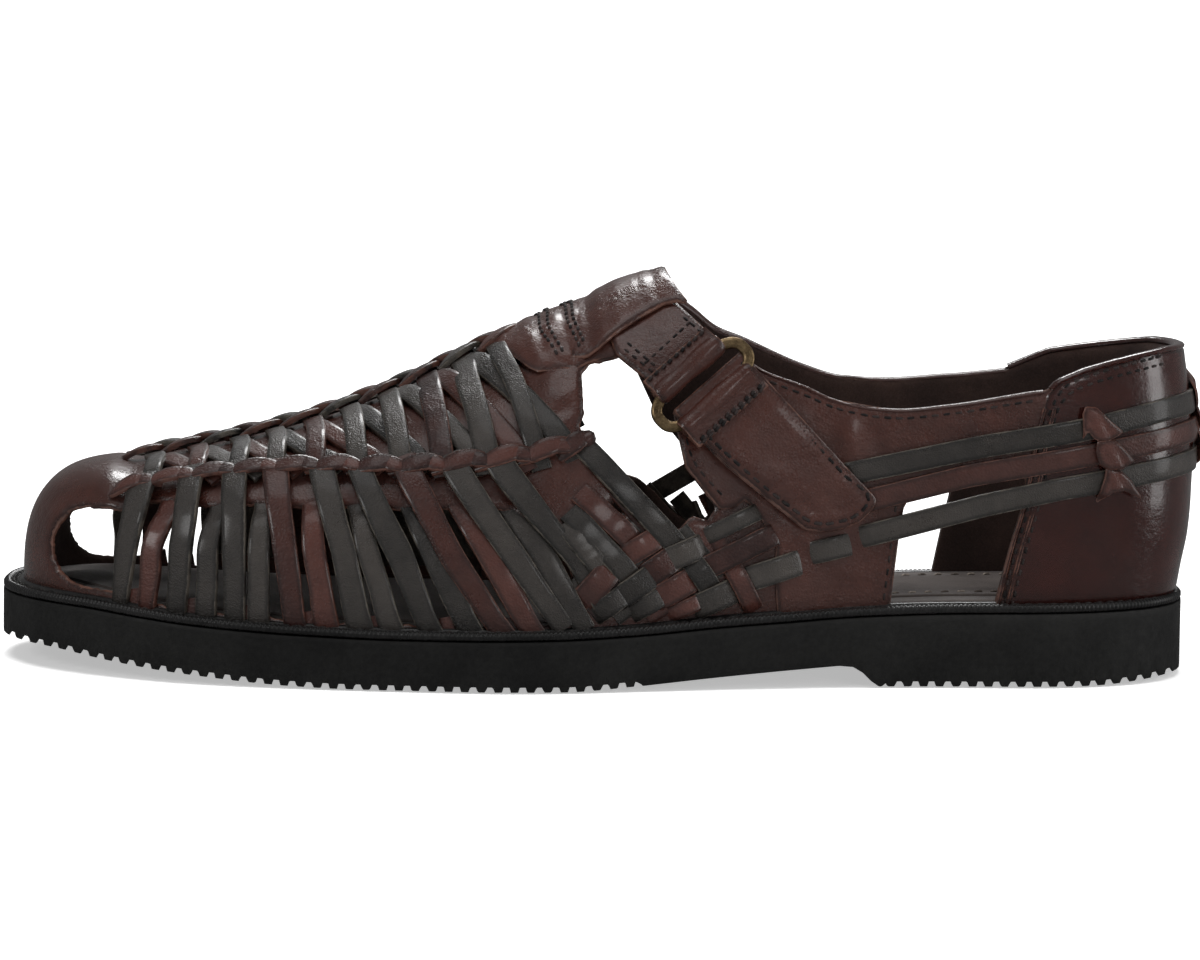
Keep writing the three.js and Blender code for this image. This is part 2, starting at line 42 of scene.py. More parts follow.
# ------------------------------------------------------------------ the last, as in the CAD part
#        x     centre half  top   hExp wExp ridge
LAST = np.array([
    [-148,  8.0, 39.0, 49.6, 3.3, 3.0,  7.0],
    [-125,  5.0, 41.0, 50.6, 3.3, 3.0,  5.5],
    [-100,  1.5, 44.5, 55.2, 3.0, 2.8,  3.0],
    [ -75, -0.5, 47.5, 61.6, 2.6, 2.5,  1.5],
    [ -50, -2.0, 49.0, 71.2, 2.2, 2.2,  1.0],
    [ -30, -4.0, 48.5, 81.0, 2.0, 2.0,  1.0],
    [ -10, -5.5, 45.5, 89.8, 1.9, 2.0,  1.0],
    [  12, -6.0, 39.5, 96.4, 1.9, 2.1,  1.0],
    [  40, -5.0, 34.0, 108.0, 2.0, 2.2, 0.5],
    [  65, -3.0, 31.3, 122.0, 2.2, 2.3, 0.5],
    [  90, -1.0, 30.8, 133.0, 2.3, 2.4, 0.0],
    [ 115,  0.5, 31.0, 140.0, 2.3, 2.4, 0.5],
    [ 148,  1.5, 31.0, 140.0, 2.3, 2.4, 1.5]])
SEAT = np.array([[-152, 17.0], [-130, 16.6], [-115, 15.4], [-100, 14.2], [-86, 13.4], [-73, 12.9], [-48, 12.4], [-11, 12.7],
                 [8, 13.4], [31, 15.2], [50, 16.4], [63, 17.3], [90, 18.2], [148, 18.6]])
TREAD = np.array([[-152, 5.9], [-138, 5.6], [-123, 4.0], [-110, 2.7], [-97, 1.7], [-85, 0.8], [-75, 0.3], [-62, 0.0], [-8, 0.0], [12, 1.2]])
BULGE = np.array([[18, 0.0], [26, 1.7], [36, 3.3], [50, 4.2], [60, 4.3], [70, 3.2], [77, 2.2], [88, 1.2], [120, 0.8]])
TOE_X, HEEL_X = -147.0, 144.6
SOLE_TOE_X, SOLE_HEEL_X = -152.0, 148.2
WELT_WIDTH = 5.0


def pchip(xs, ys, x):
    xs = np.asarray(xs, float); ys = np.asarray(ys, float); x = np.asarray(x, float)
    h = np.diff(xs); d = np.diff(ys) / h
    m = np.zeros_like(ys)
    for i in range(1, len(xs) - 1):
        if d[i - 1] * d[i] > 0:
            w1, w2 = 2 * h[i] + h[i - 1], h[i] + 2 * h[i - 1]
            m[i] = (w1 + w2) / (w1 / d[i - 1] + w2 / d[i])
    m[0], m[-1] = d[0], d[-1]
    c = np.clip(x, xs[0], xs[-1])
    i = np.clip(np.searchsorted(xs, c) - 1, 0, len(xs) - 2)
    t = (c - xs[i]) / h[i]
    return ((2 * t**3 - 3 * t**2 + 1) * ys[i] + (t**3 - 2 * t**2 + t) * h[i] * m[i]
            + (-2 * t**3 + 3 * t**2) * ys[i + 1] + (t**3 - t**2) * h[i] * m[i + 1])


def tab(x, rows):
    r = np.asarray(rows, float)
    return pchip(r[:, 0], r[:, 1], x)


def col(j, x): return pchip(LAST[:, 0], LAST[:, j], x)
def seat(x): return tab(x, SEAT)
def closure(u, p): return np.maximum(1 - np.clip(u, 0, 1) ** p, 0) ** (1 / p)
def ease(a, b, x):
    t = np.clip((np.asarray(x, float) - a) / (b - a), 0, 1)
    return t * t * (3 - 2 * t)
def shift(x, z): return tab(z, BULGE) * ease(70, 146, x)


def section(x):
    half = col(2, x) * closure((TOE_X + 62 - x) / 62, 2.4) * closure((x - HEEL_X + 44) / 44, 2.3)
    top = seat(x) + (col(3, x) - seat(x)) * closure((TOE_X + 27 - x) / 27, 3.0)
    return half, top


NT = 100  # samples of half a section
def _ends(n, reach): return reach * np.linspace(0.0, 1.0, n) ** 2.3
XS = np.concatenate([TOE_X + _ends(48, 13), np.linspace(TOE_X + 13.6, HEEL_X - 13.6, 390), (HEEL_X - _ends(48, 13))[::-1]])


def build_grid():
    P = np.zeros((len(XS), 2 * NT + 1, 3))
    th = np.linspace(0, math.pi / 2, 400)
    for i, x in enumerate(XS):
        half, top = section(x)
        z0, n, m = float(seat(x)), float(col(4, x)), float(col(5, x))
        c, r = float(col(1, x)), float(col(6, x))
        f = np.sin(th) ** (2 / n)
        a = np.maximum(1 - f**n, 0) ** (1 / m)
        z = z0 + (top - z0) * f
        X = x + shift(np.full_like(z, x), z)
        for side in (-1, 1):
            y = c + (r - c) * f + side * half * a
            q = np.stack([X, y, z], 1)
            s = np.concatenate([[0], np.cumsum(np.linalg.norm(np.diff(q, axis=0), axis=1))])
            g = np.linspace(0, s[-1], NT + 1)
            w = np.stack([np.interp(g, s, q[:, k]) for k in range(3)], 1)
            if side < 0: P[i, :NT + 1] = w
            else: P[i, NT:] = w[::-1]
    du = np.gradient(P, axis=0); dt = np.gradient(P, axis=1)
    N = np.cross(dt, du)
    N /= np.maximum(np.linalg.norm(N, axis=2, keepdims=True), 1e-9)
    # make sure that the normal points outward
    mid = P.mean(axis=1, keepdims=True)
    flip = np.sum(N * (P - mid), axis=2).mean() < 0
    return P, (-N if flip else N)


GP, GN = build_grid()


def bil(G, u, v):
    i = np.clip(np.floor(u).astype(int), 0, G.shape[0] - 2); j = np.clip(np.floor(v).astype(int), 0, G.shape[1] - 2)
    a = (u - i)[..., None]; b = (v - j)[..., None]
    return (G[i, j] * (1 - a) * (1 - b) + G[i + 1, j] * a * (1 - b) + G[i, j + 1] * (1 - a) * b + G[i + 1, j + 1] * a * b)


def surf(x, t, off=0.0):
    """Point and normal at section x and girth t (-1 outer feather line, 0 crest, 1 inner feather line), lifted by off."""
    x = np.asarray(x, float); t = np.asarray(t, float)
    u = np.interp(x, XS, np.arange(len(XS))); v = (np.clip(t, -1, 1) + 1) * NT
    p, n = bil(GP, u, v), bil(GN, u, v)
    n = n / np.maximum(np.linalg.norm(n, axis=-1, keepdims=True), 1e-9)
    return p + n * np.asarray(off, float)[..., None], n


def girth(X, Z, side):
    """Section and girth of the point of one side that is seen at X and Z from straight beside the shoe."""
    out = []
    for a, b in zip(np.atleast_1d(np.asarray(X, float)), np.atleast_1d(np.asarray(Z, float))):
        x = a
        for _ in range(4): x = a - float(shift(x, b))
        x = min(max(x, XS[0]), XS[-1])
        u = float(np.interp(x, XS, np.arange(len(XS)))); i = min(int(u), len(XS) - 2); f = u - i
        zz = GP[i, :, 2] * (1 - f) + GP[i + 1, :, 2] * f
        half = zz[:NT + 1] if side < 0 else zz[NT:][::-1]
        k = float(np.interp(b, half, np.arange(NT + 1)))
        t = -1 + k / NT if side < 0 else 1 - k / NT
        out.append((x, t))
    return np.array(out)


def on_side(points, side, off):
    """Rows of (x, z[, off]) on one side, as rows of (section, girth, off)."""
    p = np.asarray(points, float)
    g = girth(p[:, 0], p[:, 1], side)
    o = p[:, 2] if p.shape[1] > 2 else np.full(len(p), off, float)
    return np.column_stack([g, o])


# ------------------------------------------------------------------ mesh collecting
class Bag:
    """Vertices, faces and a leather attribute: distance to the cut edge, place along the strap, piece number."""
    def __init__(self): self.V, self.F, self.A, self.M, self.n = [], [], [], [], 0
    def add(self, V, F, A=None, mat=0):
        V = np.asarray(V, float)
        self.V.append(V)
        self.F.extend([tuple(int(q) + self.n for q in f) for f in F])
        self.A.append(np.asarray(A, float) if A is not None else np.tile([3.0, 0.0, 0.5], (len(V), 1)))
        self.M.extend([mat] * len(F))
        self.n += len(V)


def make(name, bag, mats, replaces=(), sharp=50):
    V = np.concatenate(bag.V); A = np.concatenate(bag.A)
    V = (V + np.array([0, FRAME_Y, 0])) / 1000.0
    me = bpy.data.meshes.new(name)
    me.from_pydata(V.tolist(), [], bag.F)
    me.validate()
    at = me.attributes.new("leather", "FLOAT_VECTOR", "POINT")
    if len(at.data) == len(A): at.data.foreach_set("vector", A.astype(np.float32).ravel())
    for m in mats: me.materials.append(m)
    if len(mats) > 1 and len(me.polygons) == len(bag.M): me.polygons.foreach_set("material_index", bag.M)
    me.polygons.foreach_set("use_smooth", [True] * len(me.polygons))
    if sharp: me.set_sharp_from_angle(angle=math.radians(sharp))
    me.update()
    ob = bpy.data.objects.new(name, me)
    bpy.context.scene.collection.objects.link(ob)
    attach(ob, "root")
    for r in replaces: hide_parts(r)
    return ob


def smooth_rows(rows, step):
    """Rows of any width, resampled along their length with a cubic through every row."""
    r = np.asarray(rows, float)
    p, _ = surf(r[:, 0], r[:, 1], r[:, 2])
    s = np.concatenate([[0], np.cumsum(np.linalg.norm(np.diff(p, axis=0), axis=1))])
    s += np.arange(len(s)) * 1e-6
    n = max(int(s[-1] / step), 3)
    g = np.linspace(0, s[-1], n + 1)
    if len(r) == 2: return np.stack([np.interp(g, s, r[:, k]) for k in range(r.shape[1])], 1), g
    m = np.gradient(r, s, axis=0)
    i = np.clip(np.searchsorted(s, g) - 1, 0, len(s) - 2)
    h = (s[i + 1] - s[i])[:, None]; t = ((g - s[i]) / (s[i + 1] - s[i]))[:, None]
    out = ((2 * t**3 - 3 * t**2 + 1) * r[i] + (t**3 - 2 * t**2 + t) * h * m[i] + (-2 * t**3 + 3 * t**2) * r[i + 1] + (t**3 - t**2) * h * m[i + 1])
    return out, g


PROFILE = np.array([(-1, 0.0), (-1.0, 0.62), (-0.975, 0.86), (-0.92, 0.97), (-0.6, 1.0), (0, 1.01), (0.6, 1.0), (0.92, 0.97), (0.975, 0.86), (1.0, 0.62), (1, 0.0)])


def sweep(bag, P, N, width, thick, along, seed=0.5, profile=PROFILE, roll=None, mat=0, crown=0.0, flat=0.0):
    """A flat strap swept along P, its face turned to N. roll is in radians, crown bows its face in mm."""
    P = np.asarray(P, float); k = len(P)
    T = np.gradient(P, axis=0); T /= np.maximum(np.linalg.norm(T, axis=1, keepdims=True), 1e-9)
    B = np.cross(N, T); B /= np.maximum(np.linalg.norm(B, axis=1, keepdims=True), 1e-9)
    M = np.cross(T, B)
    if roll is not None:
        c, s = np.cos(roll)[:, None], np.sin(roll)[:, None]
        B, M = B * c + M * s, M * c - B * s
    w = np.broadcast_to(np.asarray(width, float), (k,)); th = np.broadcast_to(np.asarray(thick, float), (k,))
    m = len(profile); V = np.zeros((k, m, 3)); A = np.zeros((k, m, 3))
    for j, (a, b) in enumerate(profile):
        V[:, j] = P + B * (a * w / 2)[:, None] + M * ((b * th) + crown * (1 - a * a) * (1 if b > 0.4 else 0.6))[:, None]
        A[:, j, 0] = 0.9 if len(profile) == 12 else ((1 - abs(a)) * w / 2 if b > 0.6 else 0.0)
    A[:, :, 1] = np.asarray(along)[:, None]; A[:, :, 2] = seed
    F = []
    for i in range(k - 1):
        for j in range(m):
            a0, b0 = i * m + j, i * m + (j + 1) % m
            F.append((a0, b0, b0 + m, a0 + m))
    F.append(tuple(range(m))[::-1]); F.append(tuple((k - 1) * m + j for j in range(m)))
    bag.add(V.reshape(-1, 3), F, A.reshape(-1, 3), mat)


def strap(bag, rows, width, thick=1.4, step=1.1, seed=None, roll=None, crown=0.12, mat=0):
    """rows: (section, girth, off of the strap's underside[, width])."""
    r = np.asarray(rows, float)
    if r.shape[1] == 3: r = np.column_stack([r, np.broadcast_to(np.asarray(width, float), (len(r),))])
    q, g = smooth_rows(r, step)
    P, N = surf(q[:, 0], q[:, 1], q[:, 2])
    rl = None if roll is None else np.interp(g / g[-1], np.linspace(0, 1, len(roll)), roll)
    sweep(bag, P, N, q[:, 3], thick, g, rng.rand() if seed is None else seed, roll=rl, crown=crown, mat=mat)


# ------------------------------------------------------------------ panels cut from the last's surface
def poly_dist(poly, x, z):
    """Signed distance to an outline in X and Z, positive inside."""
    p = np.asarray(poly, float)[:, :2]; q = np.roll(p, -1, axis=0)
    best = np.full(x.shape, 1e9); inside = np.zeros(x.shape, bool)
    for (ax, az), (bx, bz) in zip(p, q):
        dx, dz = bx - ax, bz - az
        L = dx * dx + dz * dz
        if L < 1e-12: continue
        t = np.clip(((x - ax) * dx + (z - az) * dz) / L, 0, 1)
        best = np.minimum(best, np.hypot(x - ax - t * dx, z - az - t * dz))
        if az != bz:
            cr = ((az > z) != (bz > z)) & (x < (bx - ax) * (z - az) / (bz - az) + ax)
            inside ^= cr
    return np.where(inside, best, -best)


def panel(bag, region, x0, x1, t0, t1, low, high, cell=1.15, edge=0.55, edge_run=1.3, lining=1, mat=0, seed=0.5, lower_edge=True):
    """A leather panel of real thickness: the part of the surface where region(X, Z, side, x, t) > 0, from offset low to
    offset high. low and high are numbers or functions of (X, Y, Z, x, t). Its cut edges are rounded."""
    nx = max(int((x1 - x0) / cell), 4)
    gx = np.linspace(x0, x1, nx + 1)
    if x0 < TOE_X + 6: gx = np.concatenate([XS[(XS < TOE_X + 9)][::2], gx[gx > TOE_X + 9.4]])
    if x1 > HEEL_X - 6: gx = np.concatenate([gx[gx < HEEL_X - 9.4], XS[XS > HEEL_X - 9][::2]])
    pm, _ = surf(np.full(50, (x0 + x1) / 2), np.linspace(t0, t1, 50), 0.0)
    nt = max(int(np.linalg.norm(np.diff(pm, axis=0), axis=1).sum() / cell), 4)
    gt = np.linspace(t0, t1, nt + 1)
    XX, TT = np.meshgrid(gx, gt, indexing="ij")
    P, _ = surf(XX, TT, 0.0)
    side = np.where(TT < 0, -1, 1)
    F = region(P[..., 0], P[..., 2], side, XX, TT)
    shape = F.shape
    ids = -np.ones(shape, int); verts = []; faces = []
    def vid(i, j):
        if ids[i, j] < 0: ids[i, j] = len(verts); verts.append((XX[i, j], TT[i, j], F[i, j]))
        return ids[i, j]
    cut = {}
    def eid(a, b):
        key = (a, b) if a < b else (b, a)
        if key not in cut:
            fa, fb = F[key[0]], F[key[1]]
            s = min(max(fa / (fa - fb), 0.0), 1.0)
            cut[key] = len(verts)
            verts.append((XX[key[0]] + s * (XX[key[1]] - XX[key[0]]), TT[key[0]] + s * (TT[key[1]] - TT[key[0]]), 0.0))
        return cut[key]
    ins = F > 0
    cnt = ins[:-1, :-1].astype(int) + ins[1:, :-1] + ins[1:, 1:] + ins[:-1, 1:]
    for i, j in zip(*np.nonzero(cnt == 4)):
        faces.append((vid(i, j), vid(i + 1, j), vid(i + 1, j + 1), vid(i, j + 1)))
    for i, j in zip(*np.nonzero((cnt > 0) & (cnt < 4))):
        cs = [(i, j), (i + 1, j), (i + 1, j + 1), (i, j + 1)]; out = []
        for k in range(4):
            a, b = cs[k], cs[(k + 1) % 4]
            if ins[a]: out.append(vid(*a))
            if ins[a] != ins[b]: out.append(eid(a, b))
        if len(out) > 2: faces.append(tuple(out))
    if not faces: return
    v = np.array(verts)
    P0, N = surf(v[:, 0], v[:, 1], 0.0)
    d = np.maximum(v[:, 2], 0)
    hi = high(P0[:, 0], P0[:, 1], P0[:, 2], v[:, 0], v[:, 1]) if callable(high) else np.full(len(v), float(high))
    lo = low(P0[:, 0], P0[:, 1], P0[:, 2], v[:, 0], v[:, 1]) if callable(low) else np.full(len(v), float(low))
    q = 1 - np.clip(d / edge_run, 0, 1)
    e = np.minimum(edge, (hi - lo) * 0.45)
    top = P0 + N * (hi - e * (1 - np.sqrt(np.maximum(1 - q * q, 0))))[:, None]
    bot = P0 + N * (lo + 0.5 * e * (1 - np.sqrt(np.maximum(1 - q * q, 0))))[:, None]
    A = np.column_stack([d, v[:, 0], np.full(len(v), seed)])
    n = len(v)
    flip = np.cross(P0[faces[0][1]] - P0[faces[0][0]], P0[faces[0][2]] - P0[faces[0][0]]) @ N[faces[0][0]] < 0
    fo = [f[::-1] if flip else f for f in faces]
    count = {}
    for f in fo:
        for a, b in zip(f, f[1:] + f[:1]): count[(a, b)] = 1
    rim = [(a, b) for (a, b) in count if (b, a) not in count]
    bag.add(top, fo, A, mat)
    B = A.copy(); bag.add(bot, [f[::-1] for f in fo], B, lining)
    # the cut edge between the two faces
    rv = sorted({a for e2 in rim for a in e2}); idx = {a: k for k, a in enumerate(rv)}
    tv, bv = top[rv], bot[rv]; m = len(rv)
    AA = A[rv].copy(); AA[:, 0] = 0
    bag.add(np.concatenate([tv, bv]), [(idx[b], idx[a], idx[a] + m, idx[b] + m) for a, b in rim], np.concatenate([AA, AA]), mat)


# ------------------------------------------------------------------ materials
def lin(r, g, b):
    f = lambda c: (c / 12.92) if c <= 0.04045 else ((c + 0.055) / 1.055) ** 2.4
    return (f(r / 255), f(g / 255), f(b / 255), 1.0)


class Nodes:
    def __init__(self, name):
        self.mat = bpy.data.materials.new(name); self.mat.use_nodes = True
        self.t = self.mat.node_tree; self.t.nodes.clear()
        self.out = self.t.nodes.new("ShaderNodeOutputMaterial")
        self.bsdf = self.t.nodes.new("ShaderNodeBsdfPrincipled")
        self.t.links.new(self.bsdf.outputs[0], self.out.inputs[0])
        tc = self.t.nodes.new("ShaderNodeTexCoord")
        sc = self.t.nodes.new("ShaderNodeVectorMath"); sc.operation = "SCALE"; sc.inputs["Scale"].default_value = 1000.0
        self.t.links.new(tc.outputs["Object"], sc.inputs[0]); self.mm = sc.outputs[0]
        at = self.t.nodes.new("ShaderNodeAttribute"); at.attribute_name = "leather"
        sp = self.t.nodes.new("ShaderNodeSeparateXYZ"); self.t.links.new(at.outputs["Vector"], sp.inputs[0])
        self.dist, self.along, self.seed = sp.outputs[0], sp.outputs[1], sp.outputs[2]
    def link(self, a, b): self.t.links.new(a, b)
    def noise(self, scale, detail=3.0, rough=0.55, vec=None, stretch=None):
        n = self.t.nodes.new("ShaderNodeTexNoise")
        n.inputs["Scale"].default_value = scale; n.inputs["Detail"].default_value = detail; n.inputs["Roughness"].default_value = rough
        v = vec or self.mm
        if stretch:
            m = self.t.nodes.new("ShaderNodeVectorMath"); m.operation = "MULTIPLY"; m.inputs[1].default_value = stretch
            self.link(v, m.inputs[0]); v = m.outputs[0]
        self.link(v, n.inputs["Vector"])
        return n.outputs[0]
    def voronoi(self, scale, feature="F1"):
        n = self.t.nodes.new("ShaderNodeTexVoronoi"); n.feature = feature; n.inputs["Scale"].default_value = scale
        self.link(self.mm, n.inputs["Vector"])
        return n.outputs["Distance"]
    def math(self, op, a, b=0.0, clamp=False):
        n = self.t.nodes.new("ShaderNodeMath"); n.operation = op; n.use_clamp = clamp
        for i, v in enumerate((a, b)):
            if isinstance(v, (int, float)): n.inputs[i].default_value = v
            else: self.link(v, n.inputs[i])
        return n.outputs[0]
    def ramp(self, v, a, b, lo=0.0, hi=1.0, smooth=True):
        n = self.t.nodes.new("ShaderNodeMapRange"); n.interpolation_type = "SMOOTHSTEP" if smooth else "LINEAR"
        for k, q in zip(("From Min", "From Max", "To Min", "To Max"), (a, b, lo, hi)): n.inputs[k].default_value = q
        self.link(v, n.inputs["Value"])
        return n.outputs[0]
    def mix(self, f, a, b, mode="MIX"):
        n = self.t.nodes.new("ShaderNodeMix"); n.data_type = "RGBA"; n.blend_type = mode
        for s, v in ((n.inputs[0], f), (n.inputs[6], a), (n.inputs[7], b)):
            if isinstance(v, (int, float, tuple)): s.default_value = v
            else: self.link(v, s)
        return n.outputs[2]
    def set(self, name, v):
        s = self.bsdf.inputs[name]
        if isinstance(v, (int, float, tuple)): s.default_value = v
        else: self.link(v, s)
    def bump(self, *layers):
        """layers: (height, strength, distance in mm), laid one over another."""
        prev = None
        for h, s, d in layers:
            b = self.t.nodes.new("ShaderNodeBump"); b.inputs["Strength"].default_value = s; b.inputs["Distance"].default_value = d / 1000.0
            self.link(h, b.inputs["Height"])
            if prev: self.link(prev, b.inputs["Normal"])
            prev = b.outputs[0]
        self.link(prev, self.bsdf.inputs["Normal"])


def leather(name, dark, light, edge, burnish_and_shade, rough=(0.26, 0.46), coat=0.35, coat_rough=0.22, grain=0.35, grain_scale=1.5,
            wrinkle=0.25, edge_w=0.42, spec=0.5, varied=0.35):
    n = Nodes(name)
    big, mid, fine = n.noise(0.028, 3), n.noise(0.16, 5, 0.62), n.noise(1.1, 5, 0.7)
    f = n.math("ADD", n.math("MULTIPLY", big, 0.75), n.math("MULTIPLY", mid, 0.65))
    f = n.math("ADD", f, n.math("MULTIPLY", n.math("SUBTRACT", n.seed, 0.5), varied * 1.6))
    f = n.math("ADD", f, n.math("MULTIPLY", n.math("SUBTRACT", fine, 0.5), 0.30))
    body = n.mix(n.ramp(f, 0.25, 1.2, smooth=False), dark, light)
    # darker band beside the cut edge, partly the burnished edge finish and partly painted shade for the shadow between
    # strips, then the pale raw edge itself
    wob = n.math("ADD", n.dist, n.math("MULTIPLY", n.math("SUBTRACT", n.noise(0.9, 3), 0.5), 0.5))
    band = n.ramp(wob, 0.35, 1.5, 0.55, 0.0)
    body = n.mix(band, body, burnish_and_shade)
    # pale raw edge: partly the cut leather's own paler colour, partly a painted edge highlight
    raw_edge_and_highlight = n.math("MULTIPLY", n.ramp(wob, edge_w * 0.3, edge_w, 1.0, 0.0), n.ramp(n.noise(0.2, 4), 0.36, 0.6, 0.05, 0.95))
    body = n.mix(raw_edge_and_highlight, body, edge)
    n.set("Base Color", body)
    r = n.math("ADD", n.ramp(n.noise(0.09, 4, 0.6), 0.3, 0.7, rough[0], rough[1]), n.math("MULTIPLY", n.math("SUBTRACT", fine, 0.5), 0.12))
    r = n.math("ADD", r, n.math("MULTIPLY", raw_edge_and_highlight, 0.3), clamp=True)
    n.set("Roughness", r)
    n.set("Specular IOR Level", spec)
    n.set("Coat Weight", coat); n.set("Coat Roughness", coat_rough)
    pores = n.voronoi(grain_scale)
    crease = n.noise(0.30, 5, 0.62, stretch=(1.0, 1.0, 1.5))
    n.bump((crease, wrinkle, 1.4), (pores, grain, 0.22), (n.noise(3.0, 4, 0.7), grain * 0.8, 0.14))
    return n.mat


def suede(name, dark, light, edge=None):
    n = Nodes(name)
    f = n.math("ADD", n.math("MULTIPLY", n.noise(0.05, 4), 0.6), n.math("MULTIPLY", n.noise(2.2, 6, 0.75), 0.5))
    c = n.mix(n.ramp(f, 0.35, 0.75), dark, light)
    c = n.mix(n.ramp(n.dist, 0.1, 0.7, 0.35, 0.0), c, edge or light)
    n.set("Base Color", c); n.set("Roughness", n.ramp(n.noise(1.4, 4), 0.3, 0.7, 0.78, 0.95))
    n.set("Specular IOR Level", 0.25); n.set("Sheen Weight", 0.25); n.set("Sheen Roughness", 0.5)
    n.bump((n.noise(2.6, 6, 0.75), 0.5, 0.25), (n.noise(0.3, 4), 0.3, 0.8))
    return n.mat


# third colour: the pale raw edge, partly a painted edge highlight; fourth: the dark band beside cut edges, partly
# burnish and partly painted shade between strips
BROWN = leather("brown_leather_glazed", lin(34, 14, 11), lin(76, 43, 35), lin(92, 60, 48), lin(17, 7, 6), rough=(0.22, 0.36), coat=0.4, coat_rough=0.16)
BROWN_STRIP = leather("brown_leather_strip", lin(31, 13, 11), lin(77, 44, 37), lin(86, 54, 44), lin(15, 7, 6), rough=(0.26, 0.45), coat=0.42, coat_rough=0.14, grain=0.5, edge_w=0.34, varied=0.45, spec=0.42)
BROWN_PATENT = leather("brown_leather_counter", lin(28, 9, 7), lin(56, 23, 18), lin(92, 58, 46), lin(16, 6, 5), rough=(0.14, 0.26), coat=0.6, coat_rough=0.12, grain=0.14, wrinkle=0.16)
BLACK = leather("black_leather_strip", lin(19, 17, 16), lin(62, 57, 53), lin(80, 74, 66), lin(8, 8, 7), rough=(0.27, 0.46), coat=0.32, coat_rough=0.15, grain=0.6, grain_scale=2.4, wrinkle=0.2, edge_w=0.36, varied=0.45, spec=0.45)
LINING = suede("lining_suede", lin(38, 26, 23), lin(74, 55, 49))
SOCK = suede("insole_sock", lin(62, 56, 54), lin(98, 90, 86))


def rubber(name, dark, light, rough, bump_s, spec=0.35, tint_and_highlight_amount=0.0):
    n = Nodes(name)
    f = n.math("ADD", n.math("MULTIPLY", n.noise(0.04, 4), 0.6), n.math("MULTIPLY", n.noise(0.8, 5, 0.7), 0.45))
    c = n.mix(n.ramp(f, 0.35, 0.75), dark, light)
    # paler by the seed channel: a painted highlight on the upper sole wall toward the heel, and a slight even pale tint
    # on the tread
    c = n.mix(n.ramp(n.seed, 0.0, 1.0, 0.0, tint_and_highlight_amount), c, lin(92, 90, 88))
    n.set("Base Color", c); n.set("Roughness", n.ramp(n.noise(0.25, 5, 0.65), 0.3, 0.7, rough[0], rough[1])); n.set("Specular IOR Level", spec)
    n.bump((n.noise(1.6, 6, 0.7), bump_s, 0.12), (n.noise(0.12, 3), bump_s * 0.6, 0.8))
    return n.mat


SOLE = rubber("sole_rubber_matte", lin(14, 14, 14), lin(28, 28, 27), (0.5, 0.72), 0.35, spec=0.25, tint_and_highlight_amount=0.10)
WELT = rubber("welt_rubber_satin", lin(10, 10, 10), lin(30, 29, 29), (0.24, 0.42), 0.25, spec=0.4)


def thread(name, dark, light):
    n = Nodes(name)
    w = n.math("SINE", n.math("MULTIPLY", n.along, 14.0))
    n.set("Base Color", n.mix(n.ramp(n.math("ADD", n.math("MULTIPLY", w, 0.25), n.noise(1.3, 4)), 0.3, 0.8), dark, light))
    n.set("Roughness", n.ramp(n.noise(2.0, 3), 0.3, 0.7, 0.5, 0.75))
    n.bump((w, 0.4, 0.06), (n.noise(6.0, 3), 0.3, 0.05))
    return n.mat


THREAD = thread("waxed_thread_dark", lin(16, 12, 12), lin(44, 34, 32))
THREAD_PALE = thread("waxed_thread_pale", lin(88, 80, 74), lin(150, 140, 130))
THREAD_WELT = thread("welt_thread", lin(8, 8, 8), lin(40, 39, 37))


def brass(name):
    n = Nodes(name)
    f = n.math("ADD", n.math("MULTIPLY", n.noise(0.22, 5, 0.65), 0.7), n.math("MULTIPLY", n.noise(2.4, 4), 0.35))
    n.set("Base Color", n.mix(n.ramp(f, 0.35, 0.72), lin(98, 80, 58), lin(172, 148, 112))); n.set("Metallic", 1.0)
    n.set("Roughness", n.ramp(n.noise(0.6, 5, 0.7), 0.3, 0.7, 0.26, 0.5))
    n.bump((n.noise(1.4, 5), 0.22, 0.1), (n.noise(5.0, 3, stretch=(0.2, 1.0, 1.0)), 0.2, 0.04))
    return n.mat


BRASS = brass("ring_brass_antique")


# ------------------------------------------------------------------ sole unit
def sole_half(x): return (col(2, x) + WELT_WIDTH + 0.6 * ease(60, 120, x)) * closure((SOLE_TOE_X + 64 - x) / 64, 2.4) * closure((x - SOLE_HEEL_X + 46) / 46, 2.3)


def bottom_line(x):
    x = np.asarray(x, float)
    z = tab(x, TREAD)
    shank = np.interp(x, [12, 25, 44, 60, 63.5, 66.0, 68.0, 70], [1.2, 2.4, 4.0, 5.2, 4.9, 3.4, 1.4, 0.0])
    heel = 1.2 * ease(122, 149, x)
    return np.where(x < 12, z, np.where(x < 70, shank, heel))


def sole_outline(inset=0.0, step=0.8):
    x = np.concatenate([SOLE_TOE_X + _ends(160, 20), np.linspace(SOLE_TOE_X + 20.5, SOLE_HEEL_X - 20.5, 420), (SOLE_HEEL_X - _ends(160, 20))[::-1]])
    h, c = sole_half(x), col(1, x)
    p = np.concatenate([np.stack([x, c - h], 1), np.stack([x, c + h], 1)[::-1][1:-1]])
    q = np.concatenate([p, p[:1]]); s = np.concatenate([[0], np.cumsum(np.linalg.norm(np.diff(q, axis=0), axis=1))])
    n = int(round(s[-1] / step)); g = np.linspace(0, s[-1], n, endpoint=False)
    o = np.stack([np.interp(g, s, q[:, 0]), np.interp(g, s, q[:, 1])], 1)
    t = np.roll(o, -2, axis=0) - np.roll(o, 2, axis=0); t /= np.linalg.norm(t, axis=1, keepdims=True)
    nrm = np.stack([t[:, 1], -t[:, 0]], 1)
    if np.sum(nrm * (o - o.mean(axis=0))) < 0: nrm = -nrm
    return o - nrm * inset, nrm, g, s[-1]


